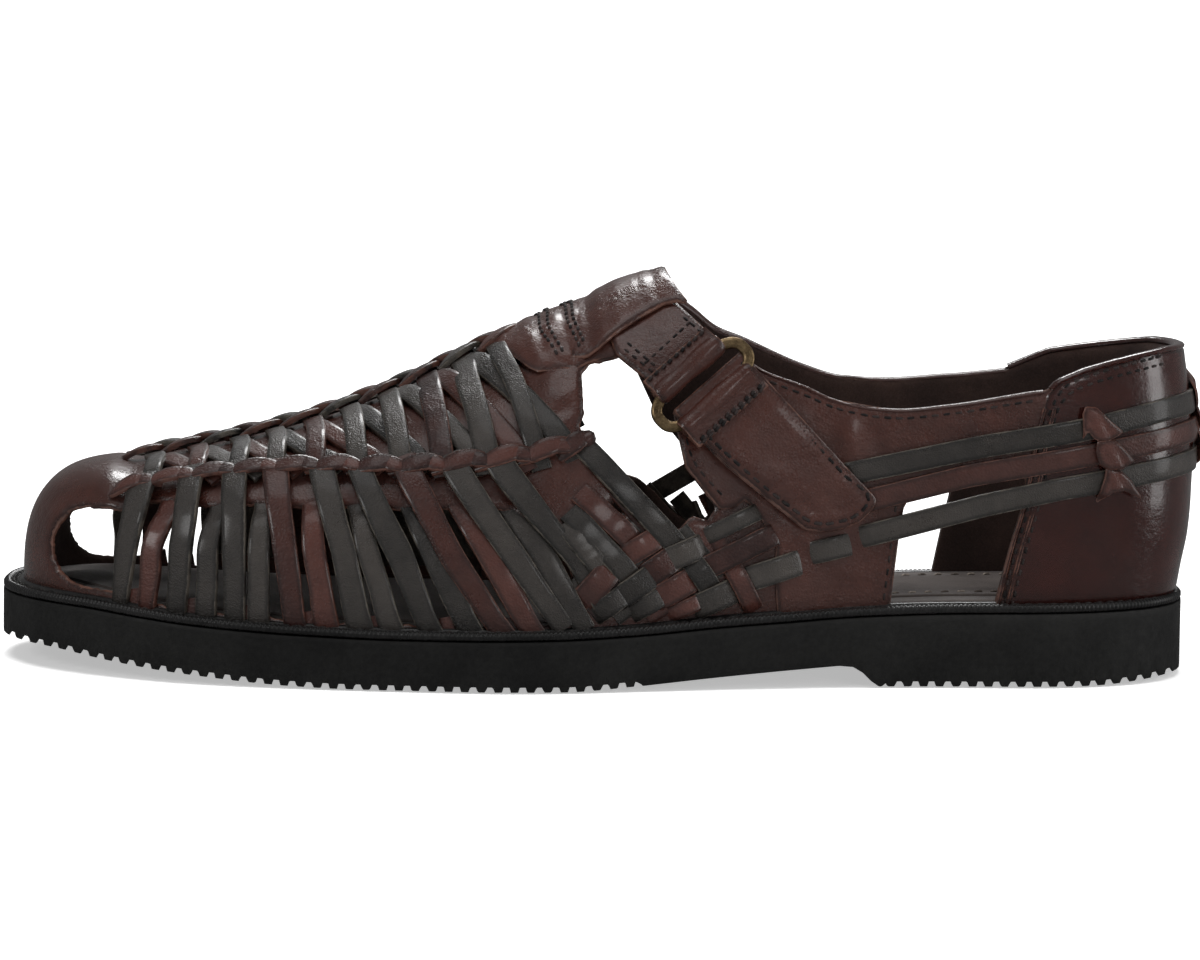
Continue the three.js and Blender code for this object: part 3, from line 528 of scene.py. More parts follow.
def tooth(x, y):
    """0 on a tooth's tip, 1 in the gap between two teeth."""
    p = 4.06
    u = (x / p) % 1.0
    g = np.clip((0.5 - np.abs(u - 0.5) - 0.23) / 0.09, 0, 1); g = g * g * (3 - 2 * g)
    zone = np.maximum(ease(-150.5, -149.5, x) * (1 - ease(9, 12, x)), ease(70.5, 72.5, x) * (1 - ease(145.5, 147.5, x)))
    pad = np.minimum(np.clip((np.hypot(x + 36, y + 4) - 22) / 1.5, 0, 1), np.clip((np.hypot(x - 106, y) - 17) / 1.5, 0, 1))
    return g * zone * pad


def build_outsole():
    b = Bag()
    x = np.concatenate([SOLE_TOE_X + 0.002 + _ends(26, 3.0), np.arange(SOLE_TOE_X + 3.35, SOLE_HEEL_X - 3.2, 0.36), (SOLE_HEEL_X - 0.002 - _ends(26, 3.0))[::-1]])
    h, c = np.maximum(sole_half(x), 1.6), col(1, x)
    top, low = seat(x), bottom_line(x)
    # wall: (inset, height 0 bottom..1 top); a shallow hollow under the top edge, and a highlight painted paler toward
    # the top of the wall and toward the heel
    wall = [(1.1, 0.0, 0.0), (0.42, 0.0, 0.14), (0.08, 0.0, 0.62), (0.0, 0.0, 1.6), (0.0, 0.34, 0.0), (0.12, 0.62, 0.0), (0.22, 0.78, 0.0), (0.1, 0.9, 0.0), (0.06, 1.0, -0.55), (0.34, 1.0, -0.12), (0.9, 1.0, 0.0)]
    rows = []; seeds = []
    fr = np.linspace(-1, 1, 15)
    for k in fr[1:-1]:
        y = c + (h - 1.4) * k
        rows.append(np.stack([x, y, low + 1.25 * tooth(x, y)], 1)); seeds.append(np.full(len(x), 0.15))
    def side(sg):
        out = []
        for ins, f, add in wall:
            y = c + sg * (h - ins)
            zb = low + 1.25 * tooth(x, y) * (1 - ease(0.25, 1.5, add) if f == 0 else 0)
            z = np.where(f == 0, zb + add, 0) if f == 0 else low + (top - low) * f + add
            if f == 0 and add >= 1.5: z = low + 1.7
            out.append(np.stack([x, y, z], 1))
        return out
    right, left = side(1), side(-1)
    tr = [np.stack([x, c + (h - 0.9) * k, top], 1) for k in (0.6, 0.2, -0.2, -0.6)]
    ring = rows + right + tr + left[::-1]
    # third attribute channel: painted highlight, paler toward the top of the wall and toward the heel; the tread rows
    # get a slight even pale tint
    tint_and_highlight_rows = seeds + [np.clip(0.9 * (w[1] - 0.45), 0, 0.5) * np.ones(len(x)) * (0.25 + 0.75 * ease(-20, 120, x)) for w in wall] + [np.zeros(len(x))] * 4
    tint_and_highlight_rows += [np.clip(0.9 * (w[1] - 0.45), 0, 0.5) * np.ones(len(x)) * (0.25 + 0.75 * ease(-20, 120, x)) for w in wall[::-1]]
    V = np.stack(ring, 1); n, m = V.shape[:2]
    F = [(i * m + j, i * m + (j + 1) % m, (i + 1) * m + (j + 1) % m, (i + 1) * m + j) for i in range(n - 1) for j in range(m)]
    F.append(tuple(range(m))[::-1]); F.append(tuple((n - 1) * m + j for j in range(m)))
    A = np.stack([np.full((n, m), 3.0), np.repeat(x[:, None], m, 1), np.stack(tint_and_highlight_rows, 1)], 2)
    b.add(V.reshape(-1, 3), F, A.reshape(-1, 3))
    return b


def ring_sweep(b, outline, nrm, g, rows, mat=0, seed=0.0):
    """rows: list of (inset array, height array) round the closed outline, in section order."""
    n = len(outline); V = []
    for ins, z in rows: V.append(np.column_stack([outline - nrm * np.asarray(ins)[:, None] if np.ndim(ins) else outline - nrm * ins, z]))
    V = np.stack(V, 1); m = V.shape[1]
    F = [(i * m + j, i * m + (j + 1) % m, ((i + 1) % n) * m + (j + 1) % m, ((i + 1) % n) * m + j) for i in range(n) for j in range(m)]
    A = np.stack([np.full((n, m), 3.0), np.repeat(g[:, None], m, 1), np.full((n, m), seed)], 2)
    b.add(V.reshape(-1, 3), F, A.reshape(-1, 3), mat)


def build_welt():
    b = Bag()
    o, nrm, g, total = sole_outline(0.0, 0.26)
    z = seat(o[:, 0]) + 0.3
    count = round(total / 1.15)
    rib = 0.5 + 0.5 * np.cos(2 * math.pi * g / total * count)
    rib = rib ** 0.6
    one = np.ones(len(g))
    low = 0.35 * np.sin(g / 17.0) * 0.3
    rows = [(0.9 * one, z), (0.35 * one, z + 0.1), (0.25 - 0.25 * rib, z + 0.7), (0.30 - 0.28 * rib, z + 1.45), (0.75 * one, z + 1.75 + 0.35 * rib), (1.5 * one, z + 1.85 + 0.38 * rib),
            (2.1 * one, z + 1.72 + 0.12 * rib), (2.5 * one, z + 1.4), (3.3 * one, z + 1.35), (3.8 * one, z + 1.45), (4.2 * one, z + 2.1 + low), (4.9 * one, z + 2.35 + low), (5.6 * one, z + 2.1), (7.0 * one, z + 1.2), (7.0 * one, z)]
    ring_sweep(b, o, nrm, g, rows)
    return b


def build_insole():
    b = Bag()
    def half(x): return (col(2, x) - 2.9) * closure((TOE_X + 2.9 + 59 - x) / 59, 2.4) * closure((x - HEEL_X + 2.9 + 41) / 41, 2.3)
    def plateau(b, inset, z0, z1, mat, lift=None):
        x = np.concatenate([TOE_X + 3.1 + inset + _ends(40, 14), np.linspace(TOE_X + 17.6 + inset, HEEL_X - 17.6 - inset, 300), (HEEL_X - 3.1 - inset - _ends(40, 14))[::-1]])
        h = np.maximum(half(x) - inset, 0.4) if inset == 0 else np.maximum((half(x) - inset) * closure((TOE_X + 3 + inset + 52 - x) / 52, 2.6) * closure((x - HEEL_X + 3 + inset + 38) / 38, 2.4), 0.4)
        c = col(1, x); s0 = seat(x)
        fr = np.concatenate([[-1, -1, -0.985], np.linspace(-0.95, 0.95, 31), [0.985, 1, 1]])
        zz = np.concatenate([[z0, z1 - 0.35, z1], np.full(31, z1), [z1, z1 - 0.35, z0]])
        V = []
        for k, zk in zip(fr, zz):
            y = c + h * k
            dish = 0.0 if zk <= z0 else -0.35 * np.exp(-((x + 40) / 30) ** 2 - ((y + 2) / 18) ** 2) - 0.4 * np.exp(-((x - 105) / 22) ** 2 - (y / 15) ** 2)
            V.append(np.stack([x, y, s0 + zk + dish], 1))
        V = np.stack(V, 1); n, m = V.shape[:2]
        F = [(i * m + j, (i + 1) * m + j, (i + 1) * m + (j + 1) % m, i * m + (j + 1) % m) for i in range(n - 1) for j in range(m)]
        F.append(tuple(range(m))); F.append(tuple((n - 1) * m + j for j in range(m))[::-1])
        A = np.stack([np.repeat((np.minimum(np.minimum(1 - np.abs(fr), 1) * 40, 9))[None], n, 0), np.repeat(x[:, None], m, 1), np.full((n, m), 0.5)], 2)
        b.add(V.reshape(-1, 3), F, A.reshape(-1, 3), mat)
    plateau(b, 0, 0.3, 2.6, 0)
    plateau(b, 7.5, 2.2, 3.2, 0)
    return b, half


# ------------------------------------------------------------------ thread
def stitch_mesh(b, p, n, t, length, radius, along, seed=0.5, mat=0):
    """One stitch lying on the surface: a short spindle sunk at both ends."""
    s = np.cross(n, t)
    k = 6; V = []
    for u in (-1.0, -0.72, -0.3, 0.3, 0.72, 1.0):
        r = radius * (0.55 if abs(u) == 1 else 1.0)
        c = p + t * (u * length / 2) + n * (radius * (0.35 if abs(u) < 0.5 else (0.05 if abs(u) < 0.9 else -0.75)))
        for j in range(k):
            a = 2 * math.pi * j / k
            V.append(c + s * (r * math.cos(a)) + n * (r * math.sin(a)))
    F = [(i * k + j, i * k + (j + 1) % k, (i + 1) * k + (j + 1) % k, (i + 1) * k + j) for i in range(5) for j in range(k)]
    F += [tuple(range(k))[::-1], tuple(5 * k + j for j in range(k))]
    b.add(V, F, np.tile([3.0, along, seed], (6 * k, 1)), mat)


def stitches(b, rows, pitch=3.0, length=2.1, radius=0.3, slant=0.0, mat=0, jitter=0.12):
    """rows: (section, girth, off of the face that it is sewn into)."""
    q, g = smooth_rows(rows, 0.5)
    P, N = surf(q[:, 0], q[:, 1], q[:, 2])
    sew(b, P, N, g, pitch, length, radius, slant, mat, jitter)


def sew(b, P, N, g, pitch, length, radius, slant=0.0, mat=0, jitter=0.12):
    T = np.gradient(P, axis=0); T /= np.maximum(np.linalg.norm(T, axis=1, keepdims=True), 1e-9)
    m = max(int(g[-1] / pitch), 1)
    for i in range(m):
        s = (i + 0.5) * g[-1] / m + jitter * (rng.rand() - 0.5) * 2
        p = np.array([np.interp(s, g, P[:, k]) for k in range(3)]); n = np.array([np.interp(s, g, N[:, k]) for k in range(3)])
        t = np.array([np.interp(s, g, T[:, k]) for k in range(3)]); n /= np.linalg.norm(n); t -= n * (t @ n); t /= np.linalg.norm(t)
        a = slant + 0.10 * (rng.rand() - 0.5)
        t = t * math.cos(a) + np.cross(n, t) * math.sin(a)
        stitch_mesh(b, p, n, t, length, radius, s, rng.rand(), mat)


# ------------------------------------------------------------------ outlines in the shoe's own X and Z
OPEN_OUT = [(-5, 77), (-3, 79), (4, 80.5), (8.5, 88), (12, 94), (12, 170), (190, 170), (190, 82.6), (141.4, 82.2), (133.9, 80.9), (126.6, 79.4), (119.5, 77.5), (110, 73.4), (97.9, 71.4),
            (86.7, 69.6), (72.8, 68.4), (57.1, 70.9), (50.6, 73.8), (39.1, 78), (34.8, 80.8), (18, 67.5), (21.2, 54.2), (29.0, 44.4), (27.0, 41.2), (23.0, 42.4), (19.6, 38.8), (15.0, 41.6), (9.0, 47.6), (4.6, 52.4), (2.1, 54.9), (-1.0, 58.6), (-3.2, 61.6), (-5.2, 63.6), (-4.2, 67.5), (-4.6, 72.5)]
OPEN_IN = [(12, 96), (15, 94.5), (23.2, 88.9), (28.5, 84.4), (36.5, 81), (52.4, 74), (59.2, 71.8), (72.4, 70.8), (90, 72), (104.3, 73.4), (115.5, 78), (126.4, 79.9), (141.1, 82.2), (190, 82.6), (190, 170), (12, 170)]
THROAT_IN = [(-6, 77), (-3, 79), (4.5, 81), (8, 75), (14, 62), (22, 52), (26.2, 46.0), (27.6, 40.0), (28.6, 34.5), (24.5, 31.5), (18.5, 35.5), (14.4, 40.0), (10.2, 43.6), (4.5, 45.2), (0, 47.5), (-5, 56), (-6.5, 68)]
WINDOW_OUT = [(72.5, 19.0), (74.5, 36.5), (75.6, 44), (78, 48.5), (84, 50.8), (95, 52.6), (106, 53), (105.2, 44.5), (102.2, 33.9), (98.5, 19.0)]
WINDOW_IN = [(60.5, 19.0), (62.5, 36.5), (65.5, 44), (72, 49), (82, 51.5), (92.5, 52), (91.5, 44.5), (88.5, 31), (86, 19.0)]
TOE_WIN = [(-133.6, 39.3), (-136.8, 35.6), (-138.4, 31.6), (-138.0, 27.4), (-136.2, 24.0), (-133.0, 21.6), (-129.2, 20.8), (-119.4, 20.4), (-118.9, 41.2), (-129.7, 40.9)]
SLOTS = [(-119.2, 10), (-119.2, 41.6), (-116.5, 43.6), (-110, 44.5), (-98, 43.7), (-86, 44.6), (-73, 44.0), (-60, 44.6), (-47, 44.0), (-34, 44.6), (-21.5, 44.0), (-14.2, 38.0), (-7.6, 31.5), (-5.2, 24), (-4.0, 18), (-4, 10)]
HOLES = [(4.7, 44.6), (9.6, 39.6)]
COUNTER_OUT = [(98.9, 10), (102.6, 33.9), (105.6, 44.5), (107.5, 55), (109.5, 66), (110.5, 72.2), (113.5, 75.6), (120.2, 78.2), (127, 79.9), (134.1, 81.4), (141.4, 82.7), (190, 83.0), (190, 10)]
COUNTER_IN = [(86.4, 10), (88.9, 31), (91.9, 44.5), (94, 55), (98, 66), (103, 73.2), (115.7, 78.4), (126.4, 80.2), (141.1, 82.6), (190, 83.0), (190, 10)]
QUARTER_OUT = [(13, 70.2), (18, 67.5), (21.2, 54.2), (29.7, 43.7), (33.5, 44.0), (35.9, 46.1), (38.5, 43.6), (39.7, 41.9), (44, 34.8), (43.6, 31.3), (43.9, 24.1), (45, 10), (112, 10), (118, 80), (190, 120), (10, 120)]
QUARTER_IN = [(14, 96), (18, 60), (26, 48), (36, 38), (42, 28), (43, 10), (104, 10), (108, 80), (190, 120), (14, 120)]


def cut(d, poly, X, Z): return np.minimum(d, -poly_dist(poly, X, Z))


def openings(X, Z, side):
    d = np.full(X.shape, 60.0)
    o = d.copy(); i = d.copy()
    for p in (OPEN_OUT, WINDOW_OUT): o = cut(o, p, X, Z)
    for p in (OPEN_IN, THROAT_IN, WINDOW_IN): i = cut(i, p, X, Z)
    return np.where(side < 0, o, i)


def base_region(X, Z, side, x, t):
    d = openings(X, Z, side)
    d = cut(d, TOE_WIN, X, Z)
    s = np.minimum(poly_dist(SLOTS, X, Z), Z - (seat(x) + 3.2 + 0.25 * np.sin(x * 0.9)))
    d = np.minimum(d, -s)
    for hx, hz in HOLES: d = np.minimum(d, np.maximum(np.abs(X - hx) * 0.8 + np.abs(Z - hz) * 0.6, np.abs(Z - hz) * 1.0) - 1.5)
    near = np.clip(1 - np.abs(d) / 2.0, 0, 1)
    return d + near * (0.16 * np.sin(X * 3.1 + Z * 1.7) + 0.13 * np.sin(Z * 4.3 - X * 1.3) + 0.08 * np.sin(X * 7.7)) * (X < 0)


def weave_sink(x, t):
    """1 where woven strips lie over the base leather, 0 on the toe cap and behind the weave."""
    return ease(-124, -117, x) * (1 - ease(-22, -12, x)) * (1 - ease(0.62, 0.7, np.abs(t)))


def toe_cap_ripples(X, Y, Z, x, t):
    """Soft hand-worked creases where the toe cap and the vamp were pulled over the last."""
    h = -0.15 - 1.7 * weave_sink(x, t)
    def ridge(ax, az, bx, bz, w, a):
        dx, dz = bx - ax, bz - az; L = dx * dx + dz * dz
        s = np.clip(((X - ax) * dx + (Z - az) * dz) / L, 0, 1)
        d = np.hypot(X - ax - s * dx, Z - az - s * dz)
        return 0.6 * a * np.exp(-(d / (1.25 * w)) ** 2) * (np.sin(np.clip(s, 0.02, 0.98) * math.pi) ** 0.6)
    for r in [(-141, 33, -133, 43, 1.6, 0.5), (-138, 41, -121, 43.5, 1.3, -0.4), (-134, 44, -122, 46.5, 1.5, 0.35), (-143, 24, -139, 35, 1.8, -0.45),
              (-12, 70, -5.5, 73, 1.4, 0.7), (-13, 67, -5, 67.5, 1.2, -0.6), (-10, 64.5, -5.2, 69, 1.3, 0.7), (-15, 74, -8, 76.5, 1.1, 0.5), (-16, 64, -9, 62, 1.4, 0.5), (-19, 71, -13, 66, 1.8, -0.4)]:
        h = h + ridge(*r) * (np.abs(t) > 0.02)
    return h


def quarter_face(X, Y, Z, x, t):
    h = np.full(X.shape, 0.95)
    def ridge(ax, az, bx, bz, w, a):
        dx, dz = bx - ax, bz - az; L = dx * dx + dz * dz
        s = np.clip(((X - ax) * dx + (Z - az) * dz) / L, 0, 1)
        return a * np.exp(-(np.hypot(X - ax - s * dx, Z - az - s * dz) / w) ** 2) * np.sin(np.clip(s, 0.02, 0.98) * math.pi) ** 0.6
    for r in [(61, 67, 64.5, 52, 2.6, 0.8), (58, 61, 60, 52, 2.4, -0.5), (67, 64, 70, 55, 2.0, -0.35), (43, 70, 52, 64, 3.0, 0.4), (44, 45, 52, 40, 2.0, -0.5), (54, 44, 60, 37, 1.6, 0.45),
              (47, 36, 56, 29, 2.4, -0.4), (58, 30, 66, 26, 2.2, 0.35), (84, 66, 92, 64, 2.5, 0.25)]:
        h = h + ridge(*r)
    return h


def seg_path(points, side, off, lift=None):
    r = on_side(points, side, off)
    return r


def both(f):
    for side in (-1, 1): f(side)


# ------------------------------------------------------------------ upper: base leather, bands and woven strips
UPRIGHT = [
    ("k", 1, (-114.2, 45.2, 6.7), (-117.6, 32.1, 6.0), (-118.7, 19.4, 4.4)), ("b", 0, (-107.6, 44.8, 5.4), (-111.0, 32.6, 5.1), (-111.9, 18.0, 4.4)),
    ("k", 1, (-101.8, 47.4, 5.9), (-103.4, 33.1, 5.8), (-104.3, 18.1, 5.1)), ("k", 0, (-95.1, 44.8, 4.3), (-96.7, 33.5, 5.0), (-97.0, 17.8, 5.1)),
    ("k", 1, (-90.9, 48.8, 6.0), (-90.1, 33.7, 5.7), (-89.7, 17.1, 5.0)), ("k", 0, (-83.8, 46.3, 4.2), (-84.2, 34.0, 5.0), (-83.8, 16.4, 5.2)),
    ("b", 1, (-80.4, 49.6, 6.3), (-77.6, 34.2, 5.7), (-74.8, 16.2, 5.2)), ("b", 0, (-71.8, 48.5, 4.7), (-70.5, 34.3, 5.4), (-67.0, 15.7, 5.9)),
    ("k", 1, (-68.2, 49.8, 6.3), (-63.5, 34.5, 5.9), (-58.7, 15.5, 6.2)), ("k", 0, (-61.0, 46.6, 4.3), (-57.2, 34.7, 5.2), (-51.1, 15.6, 5.4)),
    ("k", 1, (-58.7, 50.1, 5.8), (-49.4, 33.2, 6.4), (-41.6, 15.6, 5.2)), ("k", 0, (-48.1, 47.0, 4.7), (-40.9, 33.3, 6.2), (-31.9, 15.9, 5.4)),
    ("b", 1, (-46.9, 51.2, 6.4), (-36.3, 32.8, 5.9), (-24.6, 15.9, 5.2)), ("b", 0, (-37.7, 49.0, 4.9), (-27.2, 33.6, 5.9), (-17.0, 16.0, 5.2)),
    ("k", 1, (-35.0, 51.9, 6.4), (-20.9, 32.9, 5.9), (-10.6, 18.4, 5.1)), ("k", 0, (-26.6, 49.8, 4.5), (-13.9, 32.9, 5.9), (-5.1, 18.1, 5.0)),
    ("k", 1, (-22.8, 51.7, 6.7), (-5.6, 31.9, 5.1), (0.0, 22.1, 4.4))]
STEEP = [("k", -111.6, 51.8, -112.0, 48.6, 4.7), ("b", -100.6, 54.0, -100.6, 50.6, 4.7), ("k", -89.9, 55.9, -90.2, 51.6, 4.7), ("k", -80.8, 57.9, -80.6, 52.5, 4.7), ("b", -71.2, 60.2, -70.5, 53.5, 5.0),
         ("k", -62.0, 63.5, -60.0, 54.2, 5.2), ("k", -52.5, 67.1, -49.2, 54.3, 5.5), ("b", -42.5, 69.9, -38.8, 54.6, 6.0), ("k", -33.5, 73.6, -27.7, 56.0, 6.2), ("k", -25.9, 80.3, -15.8, 58.1, 5.2)]
SHALLOW = [("b", -109.8, 52.1, -96.1, 50.0, 5.0), ("k", -99.5, 54.1, -85.3, 51.4, 5.0), ("b", -89.3, 55.8, -75.8, 52.4, 5.0), ("k", -79.8, 58.2, -65.7, 53.5, 5.0), ("b", -71.0, 60.7, -55.2, 54.1, 5.0),
           ("k", -61.1, 64.5, -44.3, 54.7, 5.2), ("k", -51.2, 69.4, -30.4, 55.5, 5.5), ("b", -41.7, 73.3, -19.7, 56.2, 6.0), ("k", -34.2, 77.3, -8.7, 59.1, 6.2)]
WAIST = [("b", -2.7, 23.4, 2.1, 28.9, 6.0), ("k", 5.9, 23.0, 12.3, 27.3, 5.5), ("b", 7.5, 33.2, 13.4, 36.5, 5.2), ("b", 13.0, 28.5, 17.2, 31.3, 6.0), ("k", 17.7, 31.8, 23.6, 34.2, 5.5), ("k", 23.4, 30.3, 27.0, 25.3, 5.2),
         ("b", 15.6, 22.8, 22.2, 26.4, 5.7), ("k", 0.8, 19.7, 5.2, 22.8, 5.0), ("k", 10.2, 19.7, 14.6, 22.3, 4.5), ("b", 19.6, 19.1, 24.0, 20.9, 3.7), ("k", 25.3, 20.4, 32.5, 23.5, 5.7), ("b", 33.1, 29.2, 37.5, 21.0, 4.5),
         ("k", 28.8, 38.3, 38.2, 42.7, 4.0), ("b", 27.6, 30.0, 42.5, 37.2, 5.2), ("k", 54.0, 33.2, 61.3, 34.9, 5.2), ("k", 37.9, 26.9, 48.6, 30.3, 5.7)]
DIAG = [("k", -0.7, 55.4, 18.4, 35.7, 6.0), ("b", -3.0, 46.3, 7.5, 36.6, 6.0), ("k", -5.2, 41.1, 7.1, 28.1, 6.0), ("k", -7.1, 38.7, 0.2, 29.4, 5.5)]
APRON = [(-122.3, 44.5), (-117.5, 46.1), (-107, 48.3), (-95.9, 50), (-85.5, 51.4), (-74.7, 52.5), (-62.2, 52.7), (-49.7, 53.1), (-37.3, 53.9), (-29.9, 54.8), (-17.5, 56.7), (-8.9, 57.7), (-2.7, 60.6)]
BACK = [[(60, 52.2), (66, 53.4), (95, 59.6), (119, 63.6), (141, 68.2), (160, 70.5)], [(64, 45.4), (70.4, 46.9), (92, 52.4), (114, 56.2), (144.6, 61.6), (160, 63.6)],
        [(58, 35.2), (66.8, 37.4), (95.5, 45), (114.4, 49.2), (146, 54.4), (160, 56.4)]]

brown, black, dark_thread = Bag(), Bag(), Bag()
base = Bag()
panel(base, base_region, TOE_X, HEEL_X, -1, 1, lambda X, Y, Z, x, t: -2.0 - 1.3 * weave_sink(x, t), toe_cap_ripples, cell=1.15, edge=0.9, edge_run=1.6, lining=1)
panel(base, lambda X, Z, s, x, t: np.minimum(openings(X, Z, s), np.where(s < 0, poly_dist(QUARTER_OUT, X, Z), poly_dist(QUARTER_IN, X, Z))),
      8, HEEL_X - 20, -1, 1, -0.2, quarter_face, cell=1.1, edge=0.75, edge_run=1.2, lining=1, seed=0.55)


def bag(c): return black if c == "k" else brown


def pick(p, q, f): return tuple(a + (b - a) * f for a, b in zip(p, q))


def uprights(side):
    for c, front, top, mid, foot in UPRIGHT:
        j = (rng.rand(3) - 0.5) * (0.5 if side < 0 else 1.2)
        w = [top[2], mid[2], foot[2]]
        # the foot runs on into the welt, the top under the apron braid or behind the brown band
        dx, dz = foot[0] - mid[0], foot[1] - mid[1]
        end = (foot[0] + dx * 0.22, foot[1] + dz * 0.22)
        if front:
            up = (top[0] + (top[0] - mid[0]) * 0.18, top[1] + (top[1] - mid[1]) * 0.18 + 0.6)
            pts = [(up[0] + j[0], up[1], 0.2), (top[0] + j[0], top[1], 0.35), (*pick(top, mid, 0.35)[:2], 0.35), (*pick(top, mid, 0.7)[:2], -0.1), (mid[0] + j[1], mid[1], -0.3),
                   (*pick(mid, foot, 0.5)[:2], -0.3), (foot[0], foot[1], -0.2), (end[0], end[1], -0.4)]
            w = [v + 0.35 for v in w]; ws = [w[0], w[0], w[0] * 0.6 + w[1] * 0.4, w[1], w[1], (w[1] + w[2]) / 2, w[2], w[2]]
        else:
            pts = [(top[0] + j[0], top[1], -3.6), (*pick(top, mid, 0.25)[:2], -3.2), (*pick(top, mid, 0.55)[:2], -1.6), (mid[0] + j[1], mid[1], -0.9), (*pick(mid, foot, 0.5)[:2], -0.6), (foot[0], foot[1], -0.3), (end[0], end[1], -0.5)]
            w = [v + 0.35 for v in w]; ws = [w[0], w[0], (w[0] + w[1]) / 2, w[1], w[1], w[2], w[2]]
        if side > 0:
            pts = [(p[0] * 1.045 - 0.4, p[1], p[2]) for p in pts]; ws = [v + (1.8 if foot[0] > -80 else 0.0) for v in ws]
        rows = np.column_stack([on_side(pts, side, 0), ws])
        k = len(rows)
        twist = (rng.rand() - 0.5) * 0.16
        bow = [0.0 + twist] * 2 + [(-0.10 if not front else 0.0) + twist] * (k - 4) + [0.05, 0.0]
        strap(bag(c), rows, 5, thick=1.35, roll=[b * -side for b in bow], crown=0.05 + 0.08 * rng.rand())
        # short brown pieces between the feet, beside the welt
    for i in range(len(UPRIGHT) - 1):
        a, b = UPRIGHT[i][4], UPRIGHT[i + 1][4]
        if i % 2 == 0 and side < 0 or side > 0:
            x = (a[0] + b[0]) / 2
            strap(brown, on_side([(x - 0.5, a[1] + 2.2, -1.4), (x, a[1] - 0.5, -1.1), (x + 0.5, a[1] - 3.0, -1.0)], side, 0), 4.2, thick=1.2, crown=0.1)


def weave(side):
    # shallow strips first, underneath; steep strips over them
    for c, x0, z0, x1, z1, w in SHALLOW:
        g = on_side([(x0, z0), (x1, z1)], side, 0)
        t0 = g[0, 1]; start = (g[0, 0] - 2.0, t0 * 0.55)
        rows = [(start[0], start[1], -1.7), (g[0, 0] + 1.5, t0 * 1.02, -0.9), (g[0, 0] * 0.62 + g[1, 0] * 0.38, g[0, 1] * 0.62 + g[1, 1] * 0.38, -1.5), (g[0, 0] * 0.35 + g[1, 0] * 0.65, g[0, 1] * 0.35 + g[1, 1] * 0.65, -1.6), (g[1, 0], g[1, 1], -0.9),
                (g[1, 0] + (g[1, 0] - g[0, 0]) * 0.08, g[1, 1] + (g[1, 1] - g[0, 1]) * 0.10, -1.3)]
        strap(bag(c), rows, w, thick=1.25, crown=0.12, roll=[0.0, 0.12 * -side, 0.0, 0.0, 0.12 * -side])
    for c, x0, z0, x1, z1, w in STEEP:
        g = on_side([(x0, z0), (x1, z1)], side, 0)
        rows = [(g[0, 0] - 2.2, g[0, 1] * 0.2, -1.6), (g[0, 0] - 0.8, g[0, 1] * 0.65, -0.9), (g[0, 0], g[0, 1], -0.4), (g[0, 0] * 0.5 + g[1, 0] * 0.5, g[0, 1] * 0.5 + g[1, 1] * 0.5, 0.0), (g[1, 0], g[1, 1], -0.3),
                (g[1, 0] + (g[1, 0] - g[0, 0]) * 0.15, g[1, 1] + (g[1, 1] - g[0, 1]) * 0.14, -1.2)]
        strap(bag(c), rows, w, thick=1.3, crown=0.08, roll=[0, 0.1 * -side, -0.04, 0.05, 0.12 * -side])


def leaf(bagx, p0, p1, side_off, width, lift, roll0, roll1, seed=None, thick=1.1):
    """One leaf of a braid from p0 to p1 (section, girth), bowed sideways by side_off in girth."""
    m = (0.5 * (p0[0] + p1[0]), 0.5 * (p0[1] + p1[1]) + side_off)
    q1 = (p0[0] * 0.75 + p1[0] * 0.25, p0[1] * 0.75 + p1[1] * 0.25 + side_off * 0.7)
    q3 = (p0[0] * 0.25 + p1[0] * 0.75, p0[1] * 0.25 + p1[1] * 0.75 + side_off * 0.7)
    rows = [(p0[0], p0[1], lift - 1.3, width * 0.35), (q1[0], q1[1], lift - 0.1, width * 0.9), (m[0], m[1], lift + 0.35, width * 1.08), (q3[0], q3[1], lift, width * 0.86), (p1[0], p1[1], lift - 1.4, width * 0.28)]
    strap(bagx, rows, width, thick=thick, step=0.8, crown=0.2, roll=[roll0, roll0 * 0.4, 0.0, roll1 * 0.5, roll1], seed=seed)


def apron_braid(side):
    line = on_side(APRON if side < 0 else APRON[:-2] + [(-10.5, 57.3)], side, 0)
    p, _ = surf(line[:, 0], line[:, 1], 0.0)
    s = np.concatenate([[0], np.cumsum(np.linalg.norm(np.diff(p, axis=0), axis=1))])
    at = lambda d: (float(np.interp(d, s, line[:, 0])), float(np.interp(d, s, line[:, 1])))
    pitch, i = 10.7, 0
    d = 0.0
    while d < s[-1] - 2:
        a, b = at(max(d - 2.5, 0)), at(min(d + 12.2, s[-1]))
        a = (a[0], a[1] + side * 0.020); b = (b[0], b[1] - side * 0.010)
        leaf(brown, a, b, side * -0.010, 4.6, 0.85, 0.24 * side, -0.22 * side, thick=0.9)
        # the under leaf, crossing the other way
        a2, b2 = at(d + 4.2), at(min(d + 13.5, s[-1]))
        leaf(brown, (a2[0], a2[1] - side * 0.020), (b2[0], b2[1] + side * 0.014), 0.0, 3.9, 0.5, -0.22 * side, 0.22 * side)
        d += pitch; i += 1


def crest_braid():
    x = np.arange(-119.0, -28.0, 5.0)
    for i, a in enumerate(x):
        sgn = -1 if i % 2 == 0 else 1
        w = 4.6 + 1.2 * (a + 119) / 90
        leaf(black if i % 3 == 1 else brown, (a - 2.0, sgn * 0.075), (a + 9.5, -sgn * 0.045), sgn * 0.012, w, 0.0 + 0.2 * (i % 2), 0.2 * sgn, -0.2 * sgn, thick=1.3)


